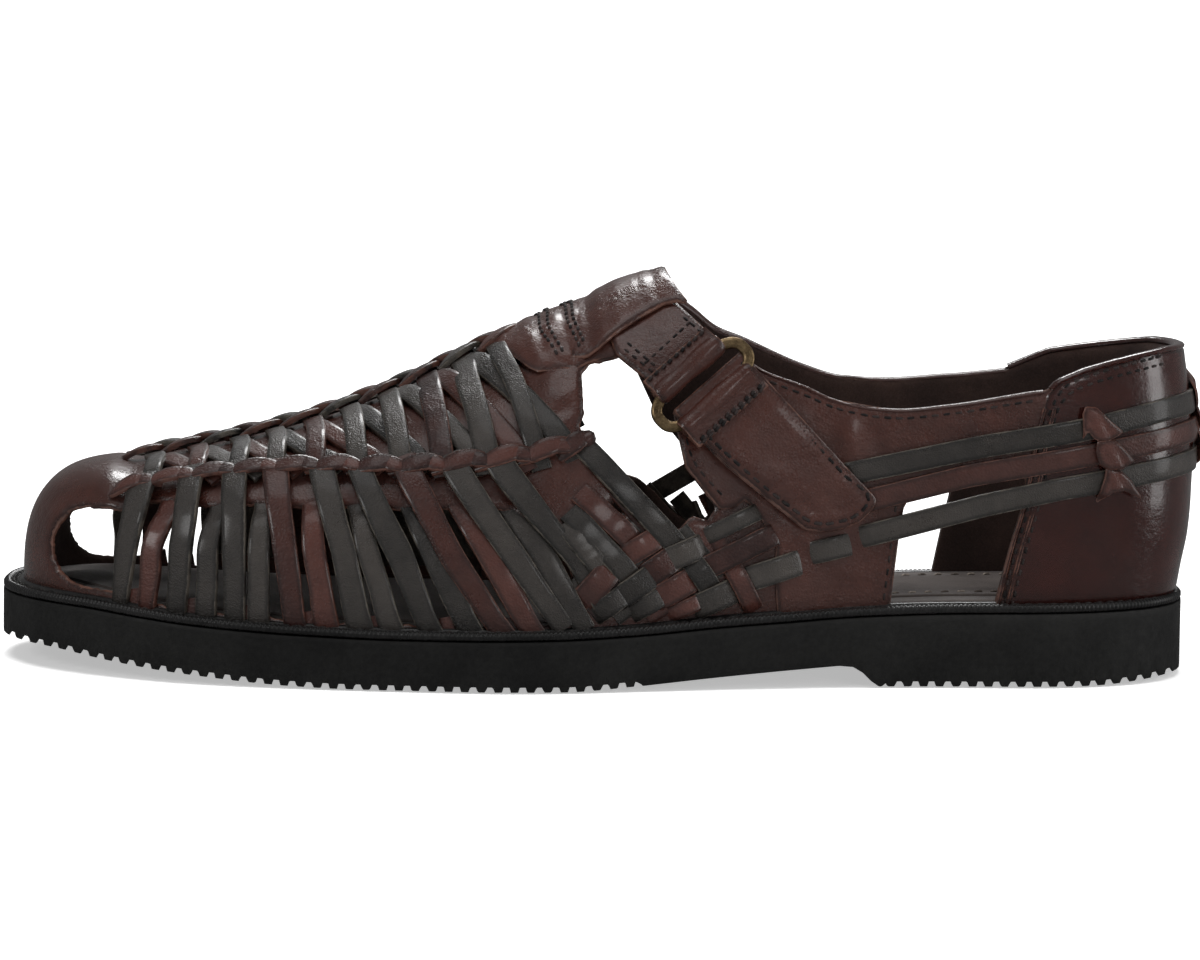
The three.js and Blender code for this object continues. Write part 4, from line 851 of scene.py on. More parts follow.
def waist(side):
    for c, x0, z0, x1, z1, w in WAIST:
        dx, dz = x1 - x0, z1 - z0; L = math.hypot(dx, dz); ux, uz = dx / L, dz / L
        if side > 0 and max(z0, z1) > 41: continue
        w = w * 1.12
        pts = [(x0 - ux * 2.2, z0 - uz * 2.2, -1.5), (x0 - ux * 0.4, z0 - uz * 0.4, -0.1), (x0 + dx * 0.3, z0 + dz * 0.3, 0.75), (x0 + dx * 0.7, z0 + dz * 0.7, 0.75), (x1 + ux * 0.4, z1 + uz * 0.4, -0.1), (x1 + ux * 2.2, z1 + uz * 2.2, -1.5)]
        strap(bag(c), on_side(pts, side, 0), w, thick=1.25, step=0.8, crown=0.1)
    for c, x0, z0, x1, z1, w in (DIAG if side < 0 else [("b", -3.0, 40.3, 7.5, 30.6, 6.0), ("k", -5.2, 36.1, 7.1, 24.1, 6.0), ("k", 10.3, 37.2, 25.5, 46.6, 5.2), ("b", 14.6, 35.6, 24.0, 29.6, 5.4)]):
        dx, dz = x1 - x0, z1 - z0; L = math.hypot(dx, dz)
        ks = np.linspace(-0.18, 1.12, 7)
        offs = [-0.6, 0.2, 0.3, 0.25, 0.5, 0.3, -1.4]
        pts = [(x0 + dx * k, z0 + dz * k, o) for k, o in zip(ks, offs)]
        strap(bag(c), on_side(pts, side, 0), w, thick=1.3, crown=0.08)
    # strips that run up from the welt behind the crossings
    for c, x0, z0, x1, z1, w in [("b", -1.5, 18.5, 13.5, 33.0, 4.6), ("k", 4.0, 17.5, 20.5, 30.0, 4.4), ("b", 12.0, 17.5, 29.0, 28.0, 4.4), ("k", -6.0, 24.5, 9.0, 40.0, 4.6), ("b", 22.0, 18.0, 36.0, 26.5, 4.2), ("k", 11.5, 41.0, 22.0, 29.0, 4.6),
                              ("k", 20.0, 39.0, 30.0, 27.0, 4.6), ("b", 27.6, 40.2, 36.0, 24.0, 4.6), ("b", 4.0, 49.0, 14.0, 37.5, 4.8), ("b", -2.5, 33.5, 8.0, 21.5, 4.8), ("k", 1.5, 40.0, 18.5, 22.0, 4.6)]:
        if side > 0 and max(z0, z1) > 41: continue
        pts = [(x0 + (x1 - x0) * k, z0 + (z1 - z0) * k, -0.95) for k in (0, 0.5, 1)]
        strap(bag(c), on_side(pts, side, 0), w, thick=1.1, crown=0.05)


def heel_path(table, side, x0, offset):
    x = np.concatenate([np.arange(x0, HEEL_X - 13, 1.2), (HEEL_X - 13 * np.linspace(0, 1, 34)[::-1] ** 2.3)])
    t = []
    tb = np.asarray(table, float)
    for q in x:
        u = float(np.interp(q, XS, np.arange(len(XS)))); i = min(int(u), len(XS) - 2); f = u - i
        zz = GP[i, :, 2] * (1 - f) + GP[i + 1, :, 2] * f
        h = zz[:NT + 1] if side < 0 else zz[NT:][::-1]
        z = float(np.interp(q, tb[:, 0], tb[:, 1]))
        for _ in range(2): z = float(np.interp(q + float(shift(q, z)), tb[:, 0], tb[:, 1]))
        k = float(np.interp(z, h, np.arange(NT + 1)))
        t.append(-1 + k / NT if side < 0 else 1 - k / NT)
    off = np.interp(x, [x0, x0 + 3.5, 96, 106, 200], offset) if np.ndim(offset) else np.full(len(x), float(offset))
    P, N = surf(x, np.array(t), off)
    return P, N


both(uprights); both(weave); both(apron_braid); crest_braid(); both(waist)

TTAB = [(-33, 100), (-33, 80.6), (-29.5, 81.0), (-26.5, 80.6), (-23.4, 80.0), (-20.6, 78.6), (-18.2, 77.0), (-15.8, 76.2), (-13.2, 76.6), (-10.8, 77.3), (-8.2, 77.2), (-5.8, 77.4), (-3.2, 78.6), (0, 79.7), (4, 80.6), (4, 100)]


def loop_face(X, Y, Z, x, t):
    h = 1.35 + 2.25 * ease(-7, 6, X) + 0.25 * np.sin((X + 4) / 20 * math.pi)
    for ax, az, bx, bz, w, a in [(10, 99, 13, 91, 1.0, 0.3), (12.6, 99, 14.6, 92, 0.8, -0.3), (-3.5, 92, -2.5, 82, 1.0, -0.5), (-1, 92, 0.5, 83, 1.1, 0.3), (7, 99, 10, 89, 1.1, 0.22)]:
        dx, dz = bx - ax, bz - az; s = np.clip(((X - ax) * dx + (Z - az) * dz) / (dx * dx + dz * dz), 0, 1)
        h = h + 0.6 * a * np.exp(-(np.hypot(X - ax - s * dx, Z - az - s * dz) / (1.3 * w)) ** 2)
    return h


def ttab_face(X, Y, Z, x, t):
    h = np.full(X.shape, 1.3)
    for ax, az, bx, bz, w, a in [(-30, 84, -24, 81.5, 1.0, 0.4), (-22, 86, -17, 80.5, 1.2, -0.5), (-19, 84, -14.5, 78, 1.0, 0.6), (-26, 87, -19, 86, 1.2, 0.35), (-9, 82, -6, 77.5, 1.2, -0.45), (-7, 80, -3.5, 78.5, 0.9, 0.5), (-29, 88, -22, 83, 1.1, -0.3)]:
        dx, dz = bx - ax, bz - az; s = np.clip(((X - ax) * dx + (Z - az) * dz) / (dx * dx + dz * dz), 0, 1)
        h = h + 0.55 * a * np.exp(-(np.hypot(X - ax - s * dx, Z - az - s * dz) / (1.3 * w)) ** 2)
    for q, a in ((-15.6, 0.28), (-9.2, 0.28)):
        line = q - 1.5 + (92 - Z) * 0.25
        h = h - a * np.exp(-((X - line) / 1.0) ** 2)
    h = h + 0.10 * np.sin(X * 1.1 + Z * 0.7) * np.sin(Z * 1.3 - X * 0.4)
    return h - 1.1 * (1 - ease(0.0, 4.0, poly_dist(TTAB, X, Z)))


panel(base, lambda X, Z, s, x, t: poly_dist(TTAB, X, Z), -36, 6, -0.5, 0.5, -0.3, ttab_face, cell=0.8, edge=0.8, edge_run=1.2, lining=1, seed=0.75)
for side in (-1, 1):
    for rows in ([(-16.6, 87.4), (-14.9, 84.7), (-10.8, 79.6)], [(-14.4, 88.3), (-12.9, 85.4), (-9.4, 80.2)], [(-10.3, 90.1), (-8.1, 86.6), (-5.2, 81.2)], [(-8.6, 90.6), (-6.7, 87.2), (-4.2, 82.4)]):
        g = on_side(rows, side, 0.0)
        g = np.vstack([[g[0, 0] - 0.6, g[0, 1] * 0.15, 1.2], g])
        q, _ = smooth_rows(g, 1.0); pp, _ = surf(q[:, 0], q[:, 1], 0.0)
        f = np.maximum(ttab_face(pp[:, 0], 0, pp[:, 2], 0, 0), loop_face(pp[:, 0], 0, pp[:, 2], 0, 0) if rows[0][0] > -12 else -9.0)
        stitches(dark_thread, np.column_stack([q[:, :2], f + 0.02]), pitch=2.3, length=1.7, radius=0.4, slant=0.15 * side)
    # a stitched line round the base leather's edges
    qf = [(20.0, 67.0), (23.0, 55.6), (30.6, 46.6)] if side < 0 else [(20.4, 60.5), (28, 49.5), (37.5, 39), (43.8, 28.5)]
    stitches(dark_thread, on_side(qf, side, 0.85), pitch=2.9, length=2.0, radius=0.3)
    qb = [(74.0, 48.5), (72.7, 36.5), (70.8, 20.5)] if side < 0 else [(63.2, 45), (60.6, 36.5), (58.6, 20.5)]
    stitches(dark_thread, on_side(qb, side, 0.85), pitch=3.0, length=2.0, radius=0.3)
    tl = [(36.4, 77.6), (40.2, 75.6), (51.2, 71.4), (57.6, 68.8), (72.8, 66.3), (86.5, 67.5), (97.6, 69.3), (108, 71.0)] if side < 0 else [(24.4, 86.4), (29, 82), (37, 78.8), (52.6, 71.8), (59.6, 69.6), (72.4, 68.6), (89.6, 69.9), (102.5, 71.3)]
    stitches(dark_thread, on_side(tl, side, 0.85), pitch=2.9, length=2.1, radius=0.32)

make("upper_base", base, [BROWN, LINING], ["upper"])
make("upper_strips_brown", brown, [BROWN_STRIP], ["upper"])
make("upper_strips_black", black, [BLACK], ["upper"])

# rolled collar edge, from the ring round the heel to the inner side
collar = Bag()
TOPLINE_OUT = [(34.8, 80.8), (39.1, 78), (50.6, 73.8), (57.1, 70.9), (72.8, 68.4), (86.7, 69.6), (97.9, 71.4), (110, 73.4)]
TOPLINE_IN = [(15, 94.3), (23.2, 88.9), (28.5, 84.4), (36.5, 81), (52.4, 74), (59.2, 71.8), (72.4, 70.8), (90, 72), (104.3, 73.4)]
ROUND = np.array([(math.cos(a), 0.5 + 0.5 * math.sin(a)) for a in np.linspace(0, 2 * math.pi, 13)[:-1]][::-1])
for side, line in ((-1, TOPLINE_OUT), (1, TOPLINE_IN)):
    q, g = smooth_rows(on_side([(x, z - 0.35) for x, z in line], side, -1.9), 1.0)
    P, N = surf(q[:, 0], q[:, 1], q[:, 2])
    sweep(collar, P, N, 1.5, 3.05, g, 0.62, profile=ROUND)
make("collar_edge", collar, [BROWN_STRIP], ["upper"])

# ------------------------------------------------------------------ heel counter
counter = Bag()
creg = lambda X, Z, s, x, t: np.minimum(np.where(s < 0, poly_dist(COUNTER_OUT, X, Z), poly_dist(COUNTER_IN, X, Z)), Z - (seat(x) + 0.6))
panel(counter, creg, 84, HEEL_X, -1, 1, -0.1, lambda X, Y, Z, x, t: 1.5 + 0.12 * np.sin(Z * 0.35 + 1.2) * ease(120, 150, X) + 0.18 * np.exp(-((Z - 44) / 5) ** 2), cell=1.15, edge=0.8, edge_run=1.5, lining=1, seed=0.45)
for side in (-1, 1):
    fr = [(101.6, 19), (105.0, 33.9), (107.9, 44.5), (109.6, 53), (111.0, 62), (112.6, 69), (115.5, 73.6), (120.8, 76.2), (127.2, 78.0), (134.2, 79.6), (140, 80.7)] if side < 0 else \
         [(89.0, 19), (91.4, 31), (94.3, 44.5), (96.4, 55), (99.8, 64), (104.6, 70.6), (116, 76.1), (126.6, 78.1), (140, 80.6)]
    r = on_side(fr, side, 1.35)
    for d in (-1.25, 1.15):
        p = [(x + d * (1.0 if z < 66 else 0.35), z - (0 if z < 66 else d * 0.8 + 0.3)) for x, z in fr]
        stitches(dark_thread, on_side(p, side, 1.42), pitch=2.7, length=1.8, radius=0.34)
    # the folded strip along the counter's front, with its raised middle
    strap(counter, on_side([(x, z, 1.15) for x, z in fr[:6]], side, 0), 1.0, thick=0.75, crown=0.25, seed=0.8)
    strap(counter, on_side([(x - 2.4, z, 0.9) for x, z in fr[:6]], side, 0), 0.9, thick=0.75, crown=0.2, seed=0.7)
P1, N1 = heel_path([(110.5, 72.2), (113.5, 75.6), (120.2, 78.4), (127, 80.2), (134.1, 81.7), (141.4, 82.9), (170, 83.2)], -1, 110.5, -1.8)
P2, N2 = heel_path([(103, 73.2), (115.7, 78.6), (126.4, 80.4), (141.1, 82.8), (170, 83.2)], 1, 104, -1.8)
P = np.concatenate([P1, P2[::-1][1:]]); N = np.concatenate([N1, N2[::-1][1:]])
g = np.concatenate([[0], np.cumsum(np.linalg.norm(np.diff(P, axis=0), axis=1))])
sweep(counter, P, N, 1.7, 3.4, g, 0.85, profile=ROUND)
make("heel_counter_leather", counter, [BROWN_PATENT, LINING], ["heel_counter"])

# ------------------------------------------------------------------ three straps round the heel, and the lace that ties them
bs_brown, bs_black = Bag(), Bag()
for i, tb_ in enumerate(BACK):
    start = [60, 64, 64.5][i]
    P1, N1 = heel_path(tb_, -1, start, [-0.6, 1.45, 1.5, 1.45, 1.42]); P2, N2 = heel_path([(x - 6, z) for x, z in tb_], 1, start - 8, [-0.6, 1.45, 1.5, 1.45, 1.42])
    P = np.concatenate([P1, P2[::-1][1:]]); N = np.concatenate([N1, N2[::-1][1:]])
    # even steps along the strap
    s = np.concatenate([[0], np.cumsum(np.linalg.norm(np.diff(P, axis=0), axis=1))]); k = int(s[-1] / 1.2); gg = np.linspace(0, s[-1], k)
    P = np.stack([np.interp(gg, s, P[:, q]) for q in range(3)], 1); N = np.stack([np.interp(gg, s, N[:, q]) for q in range(3)], 1); N /= np.linalg.norm(N, axis=1, keepdims=True)
    for _ in range(2): P[1:-1] = (P[:-2] + 2 * P[1:-1] + P[2:]) / 4
    sweep(bs_brown if i == 1 else bs_black, P, N, 5.7, 1.1, gg, [0.35, 0.6, 0.75][i], crown=0.16)
LACE = [([(119.0, 67.6), (119.6, 69.6), (122.8, 69.4), (125.3, 66.2), (128.9, 63.2), (126.6, 61.6), (123.8, 60.6), (121.8, 61.6), (120.3, 63.6), (119.4, 61.2)], 4.3, 0.85),
        ([(122.6, 61.1), (126.7, 61.5), (129.0, 59.1), (131.6, 56.0), (128.6, 54.0), (125.0, 54.0), (123.1, 55.4), (122.3, 58.4)], 4.55, 0.7),
        ([(124.8, 54.6), (128.6, 54.2), (131.0, 51.1), (133.8, 46.3), (129.5, 48.7), (126.4, 48.3), (123.0, 45.2), (123.7, 49.5), (124.6, 52.0)], 4.3, 0.9)]


def lace_face(poly, top):
    c = np.mean(np.array(poly), axis=0)
    def f(X, Y, Z, x, t):
        h = top + 0.35 * np.exp(-(((X - c[0]) * 0.8 - (Z - c[1]) * 0.3) / 1.6) ** 2) - 0.35 * np.exp(-(((X - c[0] - 1.8) * 0.8 + (Z - c[1]) * 0.45) / 0.6) ** 2) - 0.25 * np.exp(-(((X - c[0] + 1.6) * 0.8 + (Z - c[1]) * 0.5) / 0.5) ** 2)
        return h - 2.2 * ease(3.0, 5.6, np.abs(Z - c[1] + (X - c[0]) * 0.55))
    return f


for side in (-1, 1):
    dx = 0 if side < 0 else -6
    for poly, top, seed in LACE:
        pl = [(a + dx, b) for a, b in poly]
        f = lace_face(pl, top)
        panel(bs_brown, (lambda q: (lambda X, Z, s, x, t: np.where(s == side, poly_dist(q, X, Z), -9.0)))(pl), 110, 138, -1 if side < 0 else 0.02, -0.02 if side < 0 else 1, (lambda g: (lambda X, Y, Z, x, t: g(X, Y, Z, x, t) - 1.0))(f), f,
              cell=0.55, edge=0.45, edge_run=0.8, lining=0, seed=seed)
# the same lace at the back of the heel
hz = np.array([77.5, 74.5, 71.0, 67.6, 64.6, 61.2, 58.0, 54.8, 53.0]); ho = np.array([0.2, 2.3, 2.85, 2.4, 2.85, 2.4, 2.85, 2.1, 0.0]); hw = np.array([2.0, 5.2, 6.2, 2.8, 6.0, 2.8, 6.0, 4.6, 1.6])
for sg, ph in ((-1, 0.0), (1, 0.5)):
    zz = np.linspace(77.5, 51.0, 60) + ph
    P = np.stack([HEEL_X + shift(np.full(60, HEEL_X), zz) + np.interp(-zz, -hz, ho) + (0.0 if sg < 0 else -0.25), col(1, np.full(60, HEEL_X)) + sg * 3.2 * np.sin((zz - 51) / 6.6 * math.pi / 2 * 1.0 + ph), zz], 1)
    sweep(bs_brown, P, np.tile([1.0, 0, 0], (60, 1)), np.interp(-zz, -hz, hw) * 0.95, 0.62, zz, 0.7 + 0.1 * sg, roll=0.45 * np.sin((zz - 50) / 3.3) * sg, crown=0.2)
make("back_straps_black", bs_black, [BLACK], ["back_straps"])
make("back_straps_brown", bs_brown, [BROWN_STRIP], ["back_straps"])

# ------------------------------------------------------------------ instep loop, ankle strap, ring and fastening strap
LOOP = [(-7.5, 170), (-7.5, 79.4), (-3.6, 79.2), (-0.6, 80.8), (3.6, 83.6), (9.5, 87.2), (16.1, 90.8), (19.4, 91.6), (21.4, 91.4), (22.0, 92.0), (20.0, 94.2), (18.4, 96.2), (16.6, 98.4), (15.0, 100.6), (14.4, 102.5), (14.2, 170)]
LOOP_IN = [(-7.5, 170), (-7.5, 79.4), (-3.6, 79.2), (-0.6, 80.8), (3.6, 83.6), (9.5, 87.2), (13.4, 89.6), (14.6, 91.2), (14.8, 93.5), (14.4, 102.5), (14.2, 170)]
loop = Bag()


panel(loop, lambda X, Z, s, x, t: np.where(s < 0, poly_dist(LOOP, X, Z), poly_dist(LOOP_IN, X, Z)), -9, 25, -0.6, 0.6, lambda X, Y, Z, x, t: 0.1 + 2.2 * ease(-7, 6, X), loop_face, cell=0.8, edge=0.85, edge_run=1.5, lining=1, seed=0.6)
make("instep_loop_leather", loop, [BROWN, LINING], ["instep_loop"])

ANKLE_OUT = [(-1.5, 170), (-1.5, 92), (3.7, 80), (14.9, 71.8), (28.9, 84.2), (20, 91.5), (15, 95.5), (15, 170)]
ANKLE_IN = [(-1.5, 170), (-1.5, 92), (5, 84), (12.5, 69), (18.5, 58.5), (38, 64), (46, 74.5), (36.5, 80.4), (28.5, 83.6), (22, 89.4), (15, 94.5), (15, 170)]
ankle = Bag()
areg = lambda X, Z, s, x, t: np.where(s < 0, poly_dist(ANKLE_OUT, X, Z), poly_dist(ANKLE_IN, X, Z))
panel(ankle, areg, -4, 48, -0.8, 0.8, 0.25, lambda X, Y, Z, x, t: 2.1 + 0.1 * np.sin(X * 0.5), cell=0.9, edge=0.7, edge_run=1.2, lining=1, seed=0.4)
for rows, side in (([(5.4, 81.2), (15.2, 74.0)], -1), ([(6.2, 82.6), (15.8, 75.4)], -1), ([(20.4, 89.0), (27.4, 83.6)], -1), ([(10.6, 77.6), (22.8, 88.2)], -1), ([(8.0, 80.6), (14.4, 67.6), (20.0, 60.4)], 1), ([(20.2, 60.2), (37, 65.6), (43.4, 74.0)], 1)):
    stitches(dark_thread, on_side(rows, side, 2.05), pitch=2.4, length=1.7, radius=0.32)

RC = np.array([25.2, -33.2, 74.4]); RA = np.array([20, 7.2, 17.5]); RA /= np.linalg.norm(RA)
RX = np.array([6.8, -2.7, -7.3]); RN = np.cross(RA, RX); RN /= np.linalg.norm(RN); RV = np.cross(RN, RA)
if RN[1] > 0: RN = -RN
ring = Bag()
a = np.linspace(0, 2 * math.pi, 97)[:-1]
lx, ly = (30.6 - 2.6) / 2, (13.4 - 2.6) / 2
ex = np.sign(np.cos(a)) * np.abs(np.cos(a)) ** 0.82 * lx; ey = np.sign(np.sin(a)) * np.abs(np.sin(a)) ** 0.72 * ly
C = RC + np.outer(ex, RA) + np.outer(ey, RV)
T = np.roll(C, -1, axis=0) - np.roll(C, 1, axis=0); T /= np.linalg.norm(T, axis=1, keepdims=True)
O = np.cross(T, RN); sgn = np.sign(np.sum(O * (C - RC), axis=1)).mean(); O *= sgn
prof = [(-1.4, -0.4), (-1.4, 0.3), (-1.2, 0.62), (-0.4, 0.78), (0.45, 0.76), (1.2, 0.58), (1.44, 0.25), (1.4, -0.35), (1.15, -0.65), (-1.15, -0.68)]
V = np.stack([C + O * p + RN * q for p, q in prof], 1); m = len(prof); n = len(C)
ring.add(V.reshape(-1, 3), [(i * m + j, i * m + (j + 1) % m, ((i + 1) % n) * m + (j + 1) % m, ((i + 1) % n) * m + j) for i in range(n) for j in range(m)])
make("ring_oval", ring, [BRASS], ["ring"])


def fold(b, side, length, seed):
    """A strap end folded round one bar of the ring: a soft tube, flatter below, with pinched rims."""
    c = RC + RV * side * (12.8 - 2.2) / 2
    s = np.linspace(-1, 1, 25); k = 22; V, A = [], []
    for u in s:
        for j in range(k):
            th = 2 * math.pi * j / k
            r = 2.75 + 0.14 * math.sin(5 * u + side) + 0.1 * math.sin(3 * th + 2 * u) - 0.55 * max(abs(u) - 0.9, 0) * 10
            V.append(c + RA * (u * length / 2) + RV * (r * 1.03 * math.cos(th)) + RN * (r * 0.92 * math.sin(th)))
            A.append((min(3.0, (1 - abs(u)) * length / 2), u * length / 2, seed))
    F = [(i * k + j, i * k + (j + 1) % k, (i + 1) * k + (j + 1) % k, (i + 1) * k + j) for i in range(len(s) - 1) for j in range(k)]
    F += [tuple(range(k))[::-1], tuple((len(s) - 1) * k + j for j in range(k))]
    b.add(V, F, A)


def flat_tongue(b, side, reach, length, seed, drop):
    """The two plies of the fold running back over the strap it belongs to."""
    s = np.linspace(-1, 1, 25); n = 10; V, A = [], []
    for u in s:
        for top in (1, 0):
            for j in (range(n) if top else range(n - 1, -1, -1)):
                f = j / (n - 1)
                p = RC + RV * side * ((12.8 - 2.2) / 2 + 0.6 + reach * f) + RA * (u * length / 2)
                h = (2.3 * (1 - f) ** 1.6 + 1.1 * f ** 0.8 * 0.9) if top else -1.9 * (1 - f) - 0.3 * f
                V.append(p + RN * (h - drop * f * f)); A.append((min((1 - abs(u)) * length / 2, (1 - f) * reach), u, seed))
    k = 2 * n
    F = [(i * k + j, i * k + (j + 1) % k, (i + 1) * k + (j + 1) % k, (i + 1) * k + j) for i in range(len(s) - 1) for j in range(k)]
    F += [tuple(range(k))[::-1], tuple((len(s) - 1) * k + j for j in range(k))]
    b.add(V, F, A)


def sew_tongue(side, at, length, h, pitch=2.0):
    u = np.linspace(-1, 1, 30)[:, None] * length / 2
    P = RC + RV * side * ((12.8 - 2.2) / 2 + 0.6 + at) + u * RA + RN * h
    sew(dark_thread, P, np.tile(RN, (30, 1)), (u[:, 0] + length / 2), pitch, pitch * 0.74, 0.42, slant=0.28)


SG = 1.0 if RV @ RX > 0 else -1.0
fold(ankle, -SG, 21.5, 0.35); flat_tongue(ankle, -SG, 4.6, 21.0, 0.4, 0.2); sew_tongue(-SG, 3.9, 19.5, 1.15)
make("ankle_strap_leather", ankle, [BROWN, LINING], ["ankle_strap"])

TAB = [(17.5, 66.5), (34.8, 81.1), (61.4, 53.8), (68.4, 46.9), (68.6, 45.2), (67.5, 43.5), (64.5, 40.5), (59.8, 38.7), (55.1, 38), (50.4, 38.8), (47.3, 41.3), (31, 53.8)]
tabb = Bag()


def tab_bow(X, Z):
    """The strap's own bow: it stands a little off the quarter toward the ring and lies flat at its tip."""
    f = np.clip(((X - 26) * 0.72 + (74 - Z) * 0.69) / 40, 0, 1)
    return 1.3 * np.sin(f * math.pi) ** 1.2 * 0.6 + 0.9 * (1 - f)


def tab_low(X, Y, Z, x, t): return 1.0 + tab_bow(X, Z)
def tab_mid(X, Y, Z, x, t): return 2.15 + tab_bow(X, Z)
def tab_high(X, Y, Z, x, t):
    h = 3.75 + tab_bow(X, Z)
    for ax, az, bx, bz, w, a in [(40, 52, 60, 50, 3.0, 0.25), (44, 46, 56, 43, 1.6, -0.22), (50, 48, 58, 41, 1.4, 0.25), (36, 62, 44, 70, 3.0, 0.18), (47, 44, 52, 41, 1.2, 0.2)]:
        dx, dz = bx - ax, bz - az; s = np.clip(((X - ax) * dx + (Z - az) * dz) / (dx * dx + dz * dz), 0, 1)
        h = h + a * np.exp(-(np.hypot(X - ax - s * dx, Z - az - s * dz) / w) ** 2)
    d = poly_dist(TAB, X, Z)
    return h - 0.42 * np.exp(-((d - 2.0) / 0.5) ** 2) + 0.12 * np.exp(-((d - 3.2) / 0.6) ** 2)


def tab_region(grow): return lambda X, Z, s, x, t: np.where(s < 0, poly_dist(TAB, X, Z) + grow, -9.0)
panel(tabb, tab_region(0.0), 14, 72, -0.95, -0.1, tab_low, tab_mid, cell=1.0, edge=0.5, edge_run=0.8, lining=1, seed=0.3)
panel(tabb, tab_region(-0.15), 14, 72, -0.95, -0.1, lambda X, Y, Z, x, t: 2.3 + tab_bow(X, Z), tab_high, cell=0.9, edge=0.7, edge_run=1.1, lining=0, seed=0.62)
fold(tabb, SG, 23.5, 0.5); flat_tongue(tabb, SG, 5.4, 23.5, 0.5, 0.35); sew_tongue(SG, 4.2, 21.5, 1.35); sew_tongue(SG, 5.0, 21.5, 1.0)
make("fastening_strap_leather", tabb, [BROWN, LINING], ["fastening_strap"])
EDGE = [(20.9, 65.4), (32.0, 55.6), (48.4, 43.0), (51.4, 40.9), (55.2, 40.2), (59.2, 40.8), (63.2, 42.3), (66.0, 45.0), (66.3, 46.0), (60.2, 52.2), (34.6, 78.4)]
er = on_side(EDGE, -1, 0)
eo = tab_high(np.array([e[0] for e in EDGE], float), 0, np.array([e[1] for e in EDGE], float), 0, 0)
stitches(dark_thread, np.column_stack([er[:, :2], eo + 0.16]), pitch=3.1, length=2.4, radius=0.42)

# ------------------------------------------------------------------ sole unit pieces and the welt's thread
make("outsole_rubber", build_outsole(), [SOLE], ["outsole"], sharp=38)
make("welt_rubber", build_welt(), [WELT], ["welt"], sharp=None)
ib, inner_half = build_insole()
make("insole_sock", ib, [SOCK], ["insole"])
wt = Bag()
for inset, ph in ((2.75, 0.0), (3.6, 0.5)):
    o, nrm, g, total = sole_outline(inset, 0.5)
    P = np.column_stack([o, seat(o[:, 0]) + 0.3 + 1.5]); N = np.tile([0.0, 0, 1.0], (len(o), 1))
    P = np.concatenate([np.roll(P, -int(ph * 6), axis=0), P[:1]]); N = np.concatenate([N, N[:1]])
    gg = np.concatenate([[0], np.cumsum(np.linalg.norm(np.diff(P, axis=0), axis=1))])
    sew(wt, P, N, gg, 3.1, 2.5, 0.42, slant=0.25 if ph else -0.25)
make("welt_stitching", wt, [THREAD_WELT], [])
make("seam_stitching", dark_thread, [THREAD], [])
sk = Bag()
x = np.concatenate([np.linspace(60, HEEL_X - 20, 40), HEEL_X - 11 - 9 * np.linspace(0, 1, 24)[::-1] ** 2.3])
hh = np.maximum((inner_half(x) - 11) * closure((x - HEEL_X + 11 + 36) / 36, 2.4), 0)
P = np.concatenate([np.column_stack([x, col(1, x) - hh, seat(x) + 3.22]), np.column_stack([x, col(1, x) + hh, seat(x) + 3.22])[::-1]])
g = np.concatenate([[0], np.cumsum(np.linalg.norm(np.diff(P, axis=0), axis=1))])
sew(sk, P, np.tile([0.0, 0, 1.0], (len(P), 1)), g, 4.2, 2.4, 0.34, slant=0.35)
make("sock_stitching", sk, [THREAD_PALE], [])

# ------------------------------------------------------------------ floor, light and camera
me = bpy.data.meshes.new("floor"); R = 30.0
me.from_pydata([(-R, -R, -0.0003), (R, -R, -0.0003), (R, R, -0.0003), (-R, R, -0.0003)], [], [(0, 1, 2, 3)])
floor = bpy.data.objects.new("floor", me); bpy.context.scene.collection.objects.link(floor)
fm = Nodes("floor_white"); fm.set("Base Color", fm.mix(fm.noise(0.002, 2), (0.93, 0.93, 0.93, 1), (0.95, 0.95, 0.95, 1))); fm.set("Roughness", 0.9); fm.set("Specular IOR Level", 0.1); fm.set("Emission Color", (1.0, 1.0, 1.0, 1.0)); fm.set("Emission Strength", 0.45)
me.materials.append(fm.mat)

world = bpy.data.worlds.new("studio"); bpy.context.scene.world = world; world.use_nodes = True
world.node_tree.nodes["Background"].inputs[0].default_value = (1, 1, 1, 1); world.node_tree.nodes["Background"].inputs[1].default_value = 0.16


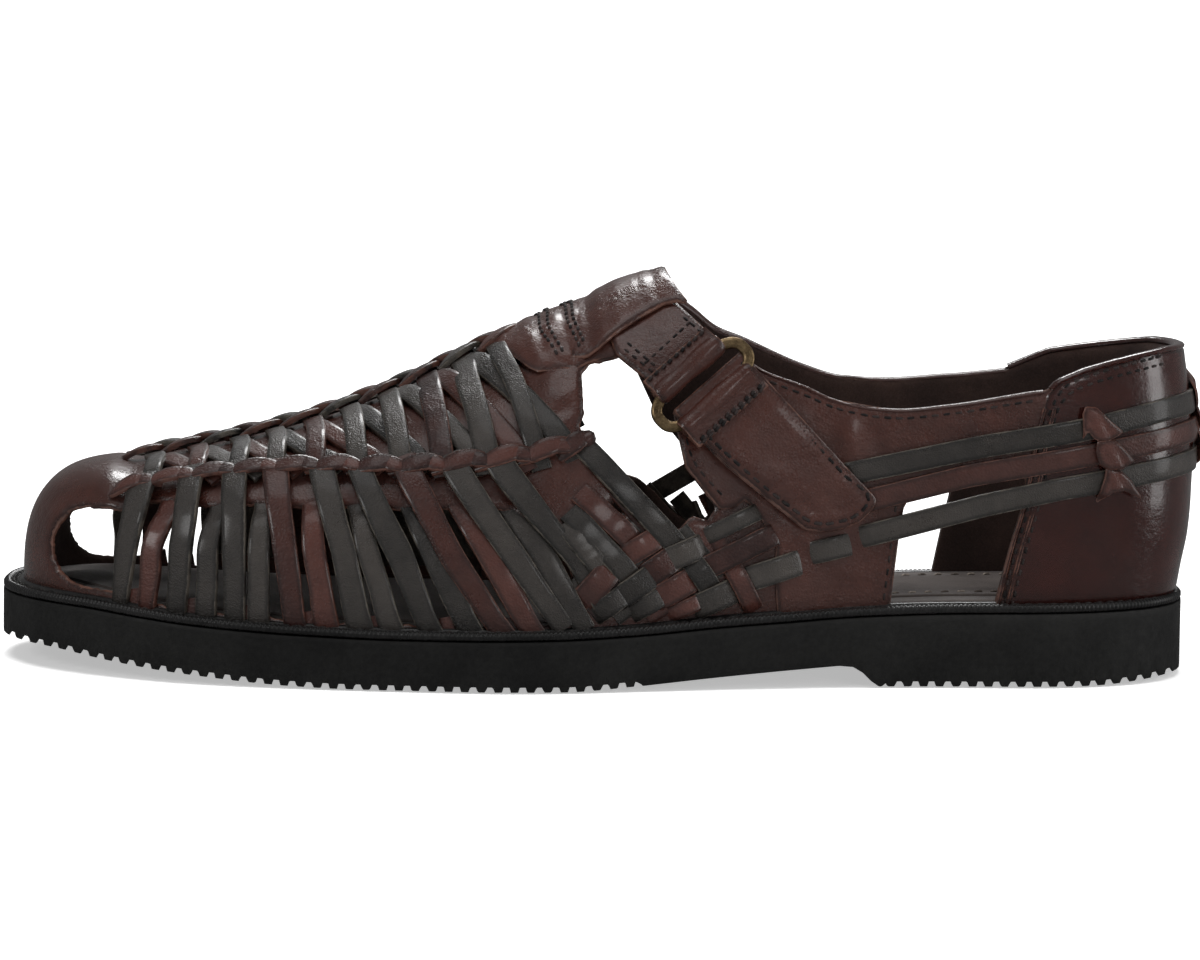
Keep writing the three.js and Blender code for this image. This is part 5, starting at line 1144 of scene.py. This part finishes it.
def softbox(name, loc, target, size, power, size_y=None):
    l = bpy.data.lights.new(name, "AREA"); l.energy = power; l.shape = "RECTANGLE"; l.size = size; l.size_y = size_y or size
    o = bpy.data.objects.new(name, l); bpy.context.scene.collection.objects.link(o)
    o.location = loc; d = Vector(target) - Vector(loc); o.rotation_euler = d.to_track_quat("-Z", "Y").to_euler()
    return o


for name, power in (("overhead_wide", 1.55), ("overhead", 0.35)):
    sun = bpy.data.lights.new(name, "SUN"); sun.energy = power; sun.angle = math.radians(34)
    so = bpy.data.objects.new(name, sun); bpy.context.scene.collection.objects.link(so)
    so.rotation_euler = Vector((0.10, 0.16, -1.0)).to_track_quat("-Z", "Y").to_euler()
    so.visible_glossy = name == "overhead"
softbox("key_left", (-0.95, -0.8, 0.7), (-0.05, 0, 0.05), 0.3, 2.0)
softbox("fill_front", (0.7, -1.3, 0.3), (0.03, 0, 0.05), 0.7, 2.2).visible_glossy = False
softbox("glint_front", (0.55, -1.15, 0.62), (0.03, 0, 0.05), 0.22, 0.7)
softbox("rim_right", (0.95, -0.12, 0.32), (0.14, -0.02, 0.05), 0.24, 2.0, 0.8)
softbox("back_top", (0.1, 0.9, 1.0), (0, 0, 0.08), 0.7, 9, 0.3)
floor.visible_glossy = False
bpy.context.scene.view_settings.view_transform = "Standard"

cam = bpy.data.cameras.new("camera"); cam.sensor_width = 36.0; cam.sensor_fit = "HORIZONTAL"
E, D, ROLL = math.radians(6.5), 1.5, 0.0129
cam.lens = 36.0 * D * 1000 / (1200 * 0.2542); cam.clip_end = 100
co = bpy.data.objects.new("camera", cam); bpy.context.scene.collection.objects.link(co)
r0, u0, b0 = Vector((1, 0, 0)), Vector((0, math.sin(E), math.cos(E))), Vector((0, -math.cos(E), math.sin(E)))
r1 = r0 * math.cos(ROLL) + u0 * math.sin(ROLL); u1 = u0 * math.cos(ROLL) - r0 * math.sin(ROLL)
pos = Vector((0, FRAME_Y / 1000, 0.0465)) + b0 * D
co.matrix_world = Matrix(((r1.x, u1.x, b0.x, pos.x), (r1.y, u1.y, b0.y, pos.y), (r1.z, u1.z, b0.z, pos.z), (0, 0, 0, 1)))
bpy.context.scene.camera = co
